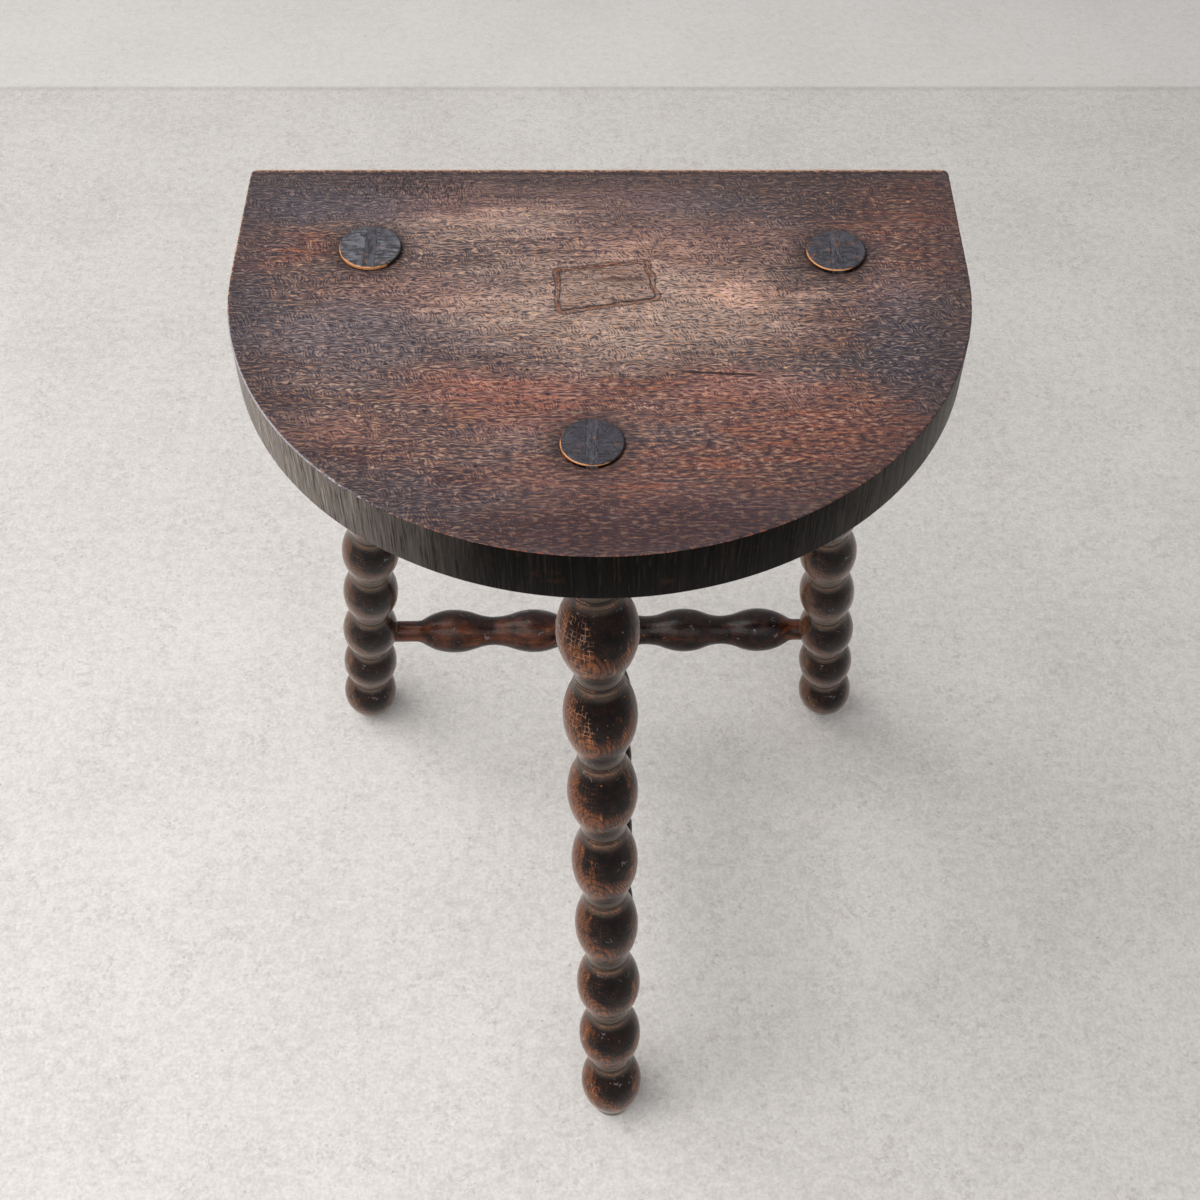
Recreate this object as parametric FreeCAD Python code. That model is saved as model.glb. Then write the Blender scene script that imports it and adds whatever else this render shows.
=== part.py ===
import FreeCAD, Part

# Three-legged bobbin stool: a half-round seat board on three bobbin-turned legs.
# Each leg ends in a round tenon that passes through the seat and is spread by a wedge.
# A turned cross stretcher joins the two back legs, and a turned middle stretcher runs
# from its centre bobbin to the front leg.
# Every length is in millimetres. X runs to the right, Y to the straight back edge of the
# seat and Z up. The finished stool stands on Z = 0, with its box centred on the origin.

import math
import os

V = FreeCAD.Vector

# Seat board
seat_width = 280.0
seat_depth = 204.0
seat_thickness = 22.9
seat_height = 477.3
seat_corner_radius = 3.0
seat_top_edge_radius = 0.8
seat_bottom_edge_radius = 0.8

# Shallow scribed outline on the seat, left by a lost label
mark_length = 35.0
mark_width = 22.0
mark_corner_radius = 2.5
mark_groove_width = 0.9
mark_groove_depth = 0.35
mark_back_inset = 69.8
mark_side_offset = 2.6
mark_turn_degrees = 9.5

# Where each leg comes through the seat, measured in from the seat's edges
left_stud_side_inset = 52.0
left_stud_back_inset = 49.7
right_stud_side_inset = 49.4
right_stud_back_inset = 51.6
front_stud_front_inset = 51.1
front_stud_side_offset = -2.6

# How far each foot stands from the point under its own stud
left_foot_out = 59.1
left_foot_back = 127.9
right_foot_out = 53.4
right_foot_back = 130.7
front_foot_right = 9.2
front_foot_forward = 35.2

# Leg turning: nine beads with a narrow flat in each neck
bead_dia = 31.0
bead_neck_dia = 20.4
bead_neck_length = 2.6
bead_cove_share = 0.27
bead_centre_shares = (0.052, 0.161, 0.269, 0.386, 0.501, 0.614, 0.727, 0.839, 0.950)
bead_dia_shares = (1.03, 1.015, 1.01, 0.97, 0.97, 0.985, 1.0, 1.06, 1.0)
foot_edge_radius = 3.0

# Through tenon, its slot and its wedge
tenon_dia = 22.6
tenon_clearance = 0.05
tenon_edge_radius = 0.5
hole_edge_width = 1.1
hole_edge_depth = 0.6
back_stud_height = 1.8
front_stud_height = 1.0
wedge_top_thickness = 4.2
wedge_tip_thickness = 1.4
wedge_depth = 20.0
wedge_clearance = 0.04

# Stretcher turning: bobbins that swell and narrow in one long wave
bobbin_dia = 25.0
bobbin_waist_dia = 16.5
bobbin_cove_share = 0.45
bobbin_end_cove_share = 0.15
cross_bobbin_shares = (0.185, 0.360, 0.524, 0.688, 0.850)
cross_end_shares = (0.104, 0.926)
cross_middle_bobbin = 2
middle_bobbin_shares = (0.193, 0.391, 0.597, 0.788)
middle_end_shares = (0.097, 0.880)

# Round stretcher pegs in blind mortises, bored a little below the middle of one bead of each leg
joint_bead = 2
left_joint_drop = 5.3
right_joint_drop = 2.3
front_joint_drop = 3.0
peg_dia = 12.2
peg_clearance = 0.05
peg_depth_in_leg = 18.0
peg_depth_in_bobbin = 14.0
peg_end_gap = 0.4

# Overrun of the tools that trim and bore, and how closely a face's height is matched
overrun = 15.0
height_tolerance = 0.02

# Values worked out from the sizes above
seat_radius = seat_width / 2
seat_back = seat_depth - seat_radius
seat_underside = seat_height - seat_thickness
tenon_radius = tenon_dia / 2
peg_radius = peg_dia / 2


def leg_line(stud_x, stud_y, foot_x, foot_y):
    """Foot, stud and unit axis of one leg, from its stud on the seat top to the floor."""
    stud = V(stud_x, stud_y, seat_height)
    foot = V(foot_x, foot_y, 0)
    axis = (stud - foot).normalize()
    return {"foot": foot, "stud": stud, "axis": axis}


left_x = left_stud_side_inset - seat_radius
left_y = seat_back - left_stud_back_inset
right_x = seat_radius - right_stud_side_inset
right_y = seat_back - right_stud_back_inset
front_x = front_stud_side_offset
front_y = front_stud_front_inset - seat_radius

legs = {
    "leg_left": leg_line(left_x, left_y, left_x - left_foot_out, left_y + left_foot_back),
    "leg_right": leg_line(right_x, right_y, right_x + right_foot_out, right_y + right_foot_back),
    "leg_front": leg_line(front_x, front_y, front_x + front_foot_right, front_y - front_foot_forward),
}
stud_heights = {
    "leg_left": back_stud_height,
    "leg_right": back_stud_height,
    "leg_front": front_stud_height,
}
wedge_names = {
    "leg_left": "wedge_left",
    "leg_right": "wedge_right",
    "leg_front": "wedge_front",
}

# The beads run from the floor to the seat's underside on the most upright leg. The legs that
# lean more show a short plain stretch of tenon under the seat.
bead_run = min(seat_underside / leg["axis"].z for leg in legs.values())


def tangent_arc(z_flat, r_flat, radius, side, bulge, turn):
    """An arc that leaves a point lengthwise and bends by turn, toward or away from the axis."""
    points = []
    for angle in (0, turn / 2, turn):
        sink = bulge * radius * (1 - math.cos(angle))
        points.append(V(r_flat - sink, 0, z_flat + side * radius * math.sin(angle)))
    return Part.Arc(*points).toShape()


def swell_edges(z_crown, r_crown, z_neck, r_neck, cove_share):
    """Two tangent arcs, lengthwise at both ends, from a crown to the neck beside it."""
    run = abs(z_neck - z_crown)
    side = math.copysign(1, z_neck - z_crown)
    turn = 2 * math.atan2(r_crown - r_neck, run)
    radius_sum = run / math.sin(turn)
    crown_arc = tangent_arc(z_crown, r_crown, radius_sum * (1 - cove_share), side, 1, turn)
    cove_arc = tangent_arc(z_neck, r_neck, radius_sum * cove_share, -side, -1, turn)
    return [crown_arc, cove_arc]


def revolve_profile(edges, z_low, r_low, z_high, r_high):
    """A solid of revolution about Z from profile edges that run from z_low to z_high."""
    axis_low = V(0, 0, z_low)
    axis_high = V(0, 0, z_high)
    closing = [
        Part.makeLine(axis_low, V(r_low, 0, z_low)),
        Part.makeLine(V(r_high, 0, z_high), axis_high),
        Part.makeLine(axis_high, axis_low),
    ]
    ordered = Part.__sortEdges__(edges + closing)
    face = Part.Face(Part.Wire(ordered))
    return face.revolve(V(0, 0, 0), V(0, 0, 1), 360)


def place_along(shape, start, axis, side=V(0, 1, 0)):
    """Stand a shape made about Z on an axis, with its own Y turned as near to side as it goes."""
    turn = FreeCAD.Rotation(V(1, 0, 0), side, axis, "ZYX")
    placed = shape.copy()
    placed.Placement = FreeCAD.Placement(start, turn)
    return placed


def leg_turning():
    """The leg as it leaves the lathe, with its foot end at zero and its tenon overlong."""
    neck_radius = bead_neck_dia / 2
    half_flat = bead_neck_length / 2
    centres = [share * bead_run for share in bead_centre_shares]
    crowns = [share * bead_dia / 2 for share in bead_dia_shares]
    necks = [(low + high) / 2 for low, high in zip(centres, centres[1:])]
    starts = [0] + [neck + half_flat for neck in necks]
    ends = [neck - half_flat for neck in necks] + [bead_run - half_flat]
    low_end = -overrun
    high_end = bead_run + seat_thickness + wedge_depth + overrun
    flats = zip([low_end] + ends, starts)
    edges = [Part.makeLine(V(neck_radius, 0, low), V(neck_radius, 0, high)) for low, high in flats]
    for centre, crown, start, end in zip(centres, crowns, starts, ends):
        edges += swell_edges(centre, crown, start, neck_radius, bead_cove_share)
        edges += swell_edges(centre, crown, end, neck_radius, bead_cove_share)
    edges.append(Part.makeLine(V(neck_radius, 0, ends[-1]), V(tenon_radius, 0, bead_run)))
    edges.append(Part.makeLine(V(tenon_radius, 0, bead_run), V(tenon_radius, 0, high_end)))
    return revolve_profile(edges, low_end, neck_radius, high_end, tenon_radius)


def slab(low, high):
    """A wide flat block between two heights, used to trim the ends of the legs."""
    span = 2 * (seat_width + seat_depth)
    return Part.makeBox(span, span, high - low, V(-span / 2, -span / 2, low))


def end_edges(solid, height):
    """The edges of a solid's flat end face at one height."""
    for face in solid.Faces:
        box = face.BoundBox
        flat = box.ZLength < height_tolerance
        if flat and abs(box.ZMax - height) < height_tolerance:
            return face.OuterWire.Edges
    raise ValueError("no flat end face at %.3f" % height)


def wedge_block(leg, stud_height, clearance):
    """The tapered block of a wedge, or of the slot that it is driven into."""
    along = leg["axis"]
    top = (seat_height + stud_height) / along.z
    tip = top - wedge_depth
    taper = (wedge_top_thickness - wedge_tip_thickness) / wedge_depth
    half_tip = wedge_tip_thickness / 2 + clearance
    high = top + overrun
    half_high = half_tip + taper * (high - tip) / 2
    reach = tenon_radius + overrun
    low = tip - clearance
    points = [
        V(-half_tip, -reach, low),
        V(half_tip, -reach, low),
        V(half_high, -reach, high),
        V(-half_high, -reach, high),
    ]
    face = Part.Face(Part.makePolygon(points + points[:1]))
    return place_along(face.extrude(V(0, 2 * reach, 0)), leg["foot"], along)


def make_leg(name, turning):
    """One leg trimmed to the floor and the stud's top, with its wedge cut from the tenon."""
    leg = legs[name]
    stud_height = stud_heights[name]
    top = seat_height + stud_height
    solid = place_along(turning, leg["foot"], leg["axis"])
    solid = solid.common(slab(0, top)).Solids[0]
    solid = solid.makeFillet(tenon_edge_radius, end_edges(solid, top))
    solid = solid.makeFillet(foot_edge_radius, end_edges(solid, 0))
    wedge = solid.common(wedge_block(leg, stud_height, 0))
    solid = solid.cut(wedge_block(leg, stud_height, wedge_clearance))
    return solid, wedge


def joint_point(name, drop):
    """Where a stretcher's axis meets a leg's axis, a drop below the middle of its joint bead."""
    leg = legs[name]
    return leg["foot"] + leg["axis"] * (bead_centre_shares[joint_bead] * bead_run - drop)


def peg_bore(centre, toward, half_thickness, depth):
    """A blind mortise bored into a turned piece at a point on its axis."""
    radius = peg_radius + peg_clearance
    start = centre + toward * (half_thickness + overrun)
    length = overrun + depth + peg_end_gap
    return Part.makeCylinder(radius, length, start, toward * -1)


def stretcher_turning(length, bobbin_shares, end_shares, start_peg, end_peg):
    """A stretcher about Z between two joint axes, with its pegs run on into the mortises."""
    crown = bobbin_dia / 2
    waist = bobbin_waist_dia / 2
    centres = [share * length for share in bobbin_shares]
    waists = [(low + high) / 2 for low, high in zip(centres, centres[1:])]
    first, last = [share * length for share in end_shares]
    edges = [Part.makeLine(V(peg_radius, 0, start_peg), V(peg_radius, 0, first))]
    edges += swell_edges(centres[0], crown, first, peg_radius, bobbin_end_cove_share)
    for index, middle in enumerate(waists):
        edges += swell_edges(centres[index], crown, middle, waist, bobbin_cove_share)
        edges += swell_edges(centres[index + 1], crown, middle, waist, bobbin_cove_share)
    edges += swell_edges(centres[-1], crown, last, peg_radius, bobbin_end_cove_share)
    edges.append(Part.makeLine(V(peg_radius, 0, last), V(peg_radius, 0, end_peg)))
    return revolve_profile(edges, start_peg, peg_radius, end_peg, peg_radius)


def seat_outline():
    """The half-round outline: a straight back, short straight sides and a round front."""
    corner = seat_corner_radius
    bend = corner * (1 - math.sqrt(0.5))
    left = -seat_radius
    right = seat_radius
    back = seat_back
    back_right = [V(right - corner, back, 0), V(right - bend, back - bend, 0), V(right, back - corner, 0)]
    back_left = [V(left, back - corner, 0), V(left + bend, back - bend, 0), V(left + corner, back, 0)]
    front = [V(right, 0, 0), V(0, -seat_radius, 0), V(left, 0, 0)]
    edges = [
        Part.makeLine(back_left[-1], back_right[0]),
        Part.Arc(*back_right).toShape(),
        Part.makeLine(back_right[-1], front[0]),
        Part.Arc(*front).toShape(),
        Part.makeLine(front[-1], back_left[0]),
        Part.Arc(*back_left).toShape(),
    ]
    return Part.Wire(edges)


def rounded_block(length, width, corner, depth):
    """An upright block on the seat top with rounded corners, centred on its own Z axis."""
    block = Part.makeBox(length, width, 2 * depth, V(-length / 2, -width / 2, -depth))
    upright = [edge for edge in block.Edges if edge.BoundBox.ZLength > depth]
    return block.makeFillet(corner, upright)


def mark_groove():
    """The scribed outline as a shallow ring to cut from the seat top."""
    inner_length = mark_length - 2 * mark_groove_width
    inner_width = mark_width - 2 * mark_groove_width
    inner_corner = mark_corner_radius - mark_groove_width
    outer = rounded_block(mark_length, mark_width, mark_corner_radius, mark_groove_depth)
    inner = rounded_block(inner_length, inner_width, inner_corner, mark_groove_depth)
    groove = outer.cut(inner)
    place = V(mark_side_offset, seat_back - mark_back_inset, seat_height)
    groove.Placement = FreeCAD.Placement(place, FreeCAD.Rotation(V(0, 0, 1), mark_turn_degrees))
    return groove


def worn_hole_edge(stud):
    """A shallow cone round one stud, for the worn edge of its hole in the seat top.

    It starts inside the hole, as deep again, so that it crosses the leaning wall all the way round.
    """
    low_radius = tenon_radius + tenon_clearance - hole_edge_width
    slope = hole_edge_width / hole_edge_depth
    height = 2 * hole_edge_depth + overrun
    low = V(stud.x, stud.y, seat_height - 2 * hole_edge_depth)
    return Part.makeCone(low_radius, low_radius + slope * height, height, low)


def make_seat():
    """The seat board with soft edges, three raking holes and the scribed outline."""
    board = Part.Face(seat_outline()).extrude(V(0, 0, seat_thickness))
    board.translate(V(0, 0, seat_underside))
    board = board.makeFillet(seat_top_edge_radius, end_edges(board, seat_height))
    board = board.makeFillet(seat_bottom_edge_radius, end_edges(board, seat_underside))
    for leg in legs.values():
        length = seat_thickness / leg["axis"].z + 2 * overrun
        start = leg["stud"] - leg["axis"] * (length - overrun)
        board = board.cut(Part.makeCylinder(tenon_radius + tenon_clearance, length, start, leg["axis"]))
        board = board.cut(worn_hole_edge(leg["stud"]))
    return board.cut(mark_groove())


# Joint points and axes of the stretchers
cross_start = joint_point("leg_left", left_joint_drop)
cross_end = joint_point("leg_right", right_joint_drop)
cross_length = (cross_end - cross_start).Length
cross_axis = (cross_end - cross_start).normalize()
middle_start = cross_start + cross_axis * (cross_bobbin_shares[cross_middle_bobbin] * cross_length)
middle_end = joint_point("leg_front", front_joint_drop)
middle_length = (middle_end - middle_start).Length
middle_axis = (middle_end - middle_start).normalize()

# Where each stretcher's pegs end, measured along it from the joint points
joint_bead_radius = bead_dia * bead_dia_shares[joint_bead] / 2
bobbin_radius = bobbin_dia / 2
leg_peg_end = joint_bead_radius - peg_depth_in_leg
bobbin_peg_end = bobbin_radius - peg_depth_in_bobbin

leg_bores = {
    "leg_left": peg_bore(cross_start, cross_axis, joint_bead_radius, peg_depth_in_leg),
    "leg_right": peg_bore(cross_end, cross_axis * -1, joint_bead_radius, peg_depth_in_leg),
    "leg_front": peg_bore(middle_end, middle_axis * -1, joint_bead_radius, peg_depth_in_leg),
}
bobbin_bore = peg_bore(middle_start, middle_axis, bobbin_radius, peg_depth_in_bobbin)

parts = {"seat": make_seat()}
leg_blank = leg_turning()
for name in legs:
    leg_solid, wedge_solid = make_leg(name, leg_blank)
    parts[name] = leg_solid.cut(leg_bores[name])
    parts[wedge_names[name]] = wedge_solid

cross = stretcher_turning(
    cross_length, cross_bobbin_shares, cross_end_shares, leg_peg_end, cross_length - leg_peg_end
)
cross = place_along(cross, cross_start, cross_axis, V(0, 0, 1))
parts["cross_stretcher"] = cross.cut(bobbin_bore)

middle = stretcher_turning(
    middle_length, middle_bobbin_shares, middle_end_shares, bobbin_peg_end, middle_length - leg_peg_end
)
parts["middle_stretcher"] = place_along(middle, middle_start, middle_axis, V(0, 0, 1))

# Centre the stool's box on the origin and write one file for each piece
stool_box = Part.makeCompound(list(parts.values())).optimalBoundingBox(False)
to_origin = V(-stool_box.Center.x, -stool_box.Center.y, 0)
os.makedirs("parts", exist_ok=True)
for name, shape in parts.items():
    shape.translate(to_origin)
    solid = shape.Solids[0]
    assert len(shape.Solids) == 1 and solid.isValid(), name
    solid.exportStep("parts/%s.step" % name)
    print("%-18s %9.1f mm3" % (name, solid.Volume))
print("stool %.1f x %.1f x %.1f mm" % (stool_box.XLength, stool_box.YLength, stool_box.ZLength))
print("moved by %.3f, %.3f" % (to_origin.x, to_origin.y))
print("bead run %.2f, stretchers %.2f and %.2f" % (bead_run, cross_length, middle_length))
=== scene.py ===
"""Looks of an old three-legged bobbin stool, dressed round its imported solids.

The seat board, the three turned legs with their wedges and the two turned stretchers are
modelled again here with their hand wear, and each stands for the solid of the same place.
Sizes are in metres, in the frame of the solids: +Z up, +Y to the straight back edge.
"""

import logging
import math
from contextlib import contextmanager
from dataclasses import dataclass, field
from enum import Enum
from typing import Any, Callable, Iterator, Optional, Sequence, Union

import bpy
import numpy as np
from mathutils import Euler, Matrix, Vector


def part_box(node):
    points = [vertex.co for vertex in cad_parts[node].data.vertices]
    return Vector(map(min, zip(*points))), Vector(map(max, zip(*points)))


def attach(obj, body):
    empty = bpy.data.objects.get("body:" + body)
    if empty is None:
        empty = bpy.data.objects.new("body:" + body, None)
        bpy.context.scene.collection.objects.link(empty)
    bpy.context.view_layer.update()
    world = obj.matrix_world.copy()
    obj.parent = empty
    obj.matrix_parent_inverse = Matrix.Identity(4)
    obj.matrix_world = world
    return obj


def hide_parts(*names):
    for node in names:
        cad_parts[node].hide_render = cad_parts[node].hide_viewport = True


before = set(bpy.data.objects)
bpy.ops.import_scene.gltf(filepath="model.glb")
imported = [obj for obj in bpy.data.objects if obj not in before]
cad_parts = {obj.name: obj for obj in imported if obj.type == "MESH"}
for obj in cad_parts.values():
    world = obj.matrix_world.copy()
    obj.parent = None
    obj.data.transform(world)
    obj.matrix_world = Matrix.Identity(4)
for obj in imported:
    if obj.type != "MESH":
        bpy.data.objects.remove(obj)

LOG = logging.getLogger("bobbin_stool")
MM = 0.001
BODY = "root"
# How upright a face's normal is where the face counts as level
LEVEL_FACE = 0.985

Colour = tuple[float, float, float, float]
Triple = Sequence[float]
Socket = bpy.types.NodeSocket
Value = Union[float, Triple, "Level"]


class LegPlace(Enum):
    """Which of the three legs a piece belongs to."""

    LEFT = "left"
    RIGHT = "right"
    FRONT = "front"


class Cut(Enum):
    """What a cutter does to the piece that it meets."""

    AWAY = "DIFFERENCE"
    KEEP_SHARED = "INTERSECT"


class Pick(Enum):
    """What kind of element a selection holds."""

    POINTS = "VERT"
    EDGES = "EDGE"
    FACES = "FACE"


def stain(red: int, green: int, blue: int) -> Colour:
    """Turn a colour as it is seen on a screen into the values that a shader takes.

    Args:
        red: Red, from 0 to 255.
        green: Green, from 0 to 255.
        blue: Blue, from 0 to 255.

    Returns:
        The same colour in linear light, with full cover.
    """
    def linear(level: int) -> float:
        share = level / 255.0
        return share / 12.92 if share <= 0.04045 else ((share + 0.055) / 1.055) ** 2.4

    return (linear(red), linear(green), linear(blue), 1.0)


def work_on(piece: bpy.types.Object) -> None:
    """Make one piece the only selected and the active one."""
    bpy.ops.object.select_all(action="DESELECT")
    piece.select_set(True)
    bpy.context.view_layer.objects.active = piece


@contextmanager
def edit_mode(piece: bpy.types.Object, whole: bool = False) -> Iterator[None]:
    """Hold one piece in edit mode for the length of a with block, with all of it selected if asked."""
    work_on(piece)
    bpy.ops.object.mode_set(mode="EDIT")
    if whole:
        take_all()
    try:
        yield
    finally:
        bpy.ops.object.mode_set(mode="OBJECT")


def take_all() -> None:
    """Select all of the mesh that is being edited."""
    bpy.ops.mesh.select_all(action="SELECT")


def draw_out(x: float, y: float, z: float) -> None:
    """Draw the selected face out by a step."""
    bpy.ops.mesh.extrude_region_move(TRANSFORM_OT_translate={"value": (x, y, z)})


def face_outward() -> None:
    """Turn every face of the mesh that is being edited outward."""
    take_all()
    bpy.ops.mesh.normals_make_consistent(inside=False)


def fresh(add: Callable[..., Any], **settings: Any) -> bpy.types.Object:
    """Add one plain shape with the call given, and return it."""
    bpy.ops.object.select_all(action="DESELECT")
    add(**settings)
    return bpy.context.active_object


def settle(piece: bpy.types.Object) -> None:
    """Move a piece's place, turn and scale into its mesh."""
    work_on(piece)
    bpy.ops.object.transform_apply(location=True, rotation=True, scale=True)


def pick(piece: bpy.types.Object, kind: Pick, test: Callable[[Any], bool]) -> None:
    """Select the points, edges or faces of a piece that pass a test, in object mode.

    Args:
        piece: The piece whose elements are selected.
        kind: Which elements are tested.
        test: Given a vertex, a face, or an edge's two end points, says whether it is taken.
    """
    with edit_mode(piece):
        bpy.ops.mesh.select_mode(type=kind.value)
        bpy.ops.mesh.select_all(action="DESELECT")
    mesh = piece.data
    if kind is Pick.EDGES:
        for edge in mesh.edges:
            edge.select = test([mesh.vertices[index].co for index in edge.vertices])
    else:
        for element in mesh.polygons if kind is Pick.FACES else mesh.vertices:
            element.select = test(element)


def finish_with(piece: bpy.types.Object, kind: str, **settings: Any) -> None:
    """Add one modifier to a piece, set it and apply it.

    Args:
        piece: The piece to change.
        kind: The modifier's type.
        **settings: The modifier's own settings.
    """
    work_on(piece)
    modifier = piece.modifiers.new(kind.lower(), kind)
    for name, value in settings.items():
        setattr(modifier, name, value)
    bpy.ops.object.modifier_apply(modifier=modifier.name)


def carve(piece: bpy.types.Object, cutter: bpy.types.Object, cut: Cut, keep_cutter: bool = False) -> None:
    """Cut one closed piece with another, and drop the cutter."""
    finish_with(piece, "BOOLEAN", operation=cut.value, object=cutter, solver="EXACT")
    if not keep_cutter:
        bpy.data.objects.remove(cutter, do_unlink=True)


def wear_down(piece: bpy.types.Object, grain: float, depth: float, group: str = "") -> None:
    """Press soft, uneven hand wear into a piece along its normals.

    Args:
        piece: The piece to wear.
        grain: How far apart the hollows lie.
        depth: How deep the deepest hollow is, against the highest spot.
        group: The group of points that is worn, or none for the whole piece.
    """
    texture = bpy.data.textures.new(f"{piece.name}_wear_{grain:.4f}", "CLOUDS")
    texture.noise_scale = grain
    texture.noise_depth = 2
    finish_with(
        piece, "DISPLACE", texture=texture, texture_coords="LOCAL", direction="NORMAL",
        strength=depth, mid_level=0.5, vertex_group=group,
    )
    bpy.data.textures.remove(texture)


def copy_of(piece: bpy.types.Object, name: str) -> bpy.types.Object:
    """Copy a piece with a mesh of its own."""
    twin = piece.copy()
    twin.data = piece.data.copy()
    twin.name = name
    twin.data.name = name
    bpy.context.scene.collection.objects.link(twin)
    return twin


def smooth(piece: bpy.types.Object, degrees: float = 32.0) -> None:
    """Shade a piece smooth, except over edges sharper than an angle."""
    work_on(piece)
    bpy.ops.object.shade_smooth_by_angle(angle=math.radians(degrees))


def stand_on(piece: bpy.types.Object, start: Vector, axis: Vector, side: Vector) -> None:
    """Lay a piece's Z axis along a line, with its own Y turned as near to side as it goes."""
    across = side.cross(axis).normalized()
    turned = Matrix((across, axis.cross(across), axis)).transposed().to_4x4()
    piece.matrix_world = Matrix.Translation(start) @ turned
    settle(piece)


def hand_over(piece: bpy.types.Object, node: str) -> None:
    """Hang a finished piece on the stool's body in place of its solid, and report it.

    Args:
        piece: The finished piece.
        node: The solid that it stands for.
    """
    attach(piece, BODY)
    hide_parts(node)
    LOG.info("%s stands for %s with %d faces", piece.name, node, len(piece.data.polygons))


class Level:
    """A number, place or colour that a material works out at each point, with plain sums on it."""

    def __init__(self, sheet: "NodeSheet", socket: Socket) -> None:
        """Hold one output of a node on a sheet."""
        self.sheet = sheet
        self.socket = socket

    def __add__(self, other: Value) -> "Level":
        """The sum of two numbers."""
        return self.sheet.math("ADD", self, other)

    def __sub__(self, other: Value) -> "Level":
        """This number less another."""
        return self.sheet.math("SUBTRACT", self, other)

    def __rsub__(self, other: Value) -> "Level":
        """Another number less this one."""
        return self.sheet.math("SUBTRACT", other, self)

    def __mul__(self, other: Value) -> "Level":
        """The product of two numbers."""
        return self.sheet.math("MULTIPLY", self, other)

    def __truediv__(self, other: Value) -> "Level":
        """This number divided by another."""
        return self.sheet.math("DIVIDE", self, other)

    def __abs__(self) -> "Level":
        """The number without its sign."""
        return self.sheet.math("ABSOLUTE", self)

    def most(self, other: Value) -> "Level":
        """The larger of two numbers."""
        return self.sheet.math("MAXIMUM", self, other)

    def least(self, other: Value) -> "Level":
        """The smaller of two numbers."""
        return self.sheet.math("MINIMUM", self, other)

    def dot(self, side: Triple) -> "Level":
        """How far this direction leans to a side."""
        return self.sheet.vector("DOT_PRODUCT", self, side)

    def parts(self) -> tuple["Level", "Level", "Level"]:
        """The three numbers of a place or colour."""
        node = self.sheet.add("ShaderNodeSeparateXYZ")
        self.sheet.feed(node.inputs[0], self)
        return tuple(Level(self.sheet, socket) for socket in node.outputs)

    def fade(self, start: float, end: float) -> "Level":
        """Rise softly from 0 to 1 as this number goes from start to end."""
        node = self.sheet.add("ShaderNodeMapRange", interpolation_type="SMOOTHSTEP", clamp=True)
        low, high = (0.0, 1.0) if start <= end else (1.0, 0.0)
        for socket, value in zip(node.inputs, (self, min(start, end), max(start, end), low, high)):
            self.sheet.feed(socket, value)
        return Level(self.sheet, node.outputs[0])

    def span(self, low: float, high: float) -> "Level":
        """A number that runs from low to high as this one runs from 0 to 1."""
        node = self.sheet.add("ShaderNodeMapRange", clamp=True)
        for socket, value in zip(node.inputs, (self, 0.0, 1.0, low, high)):
            self.sheet.feed(socket, value)
        return Level(self.sheet, node.outputs[0])


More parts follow.
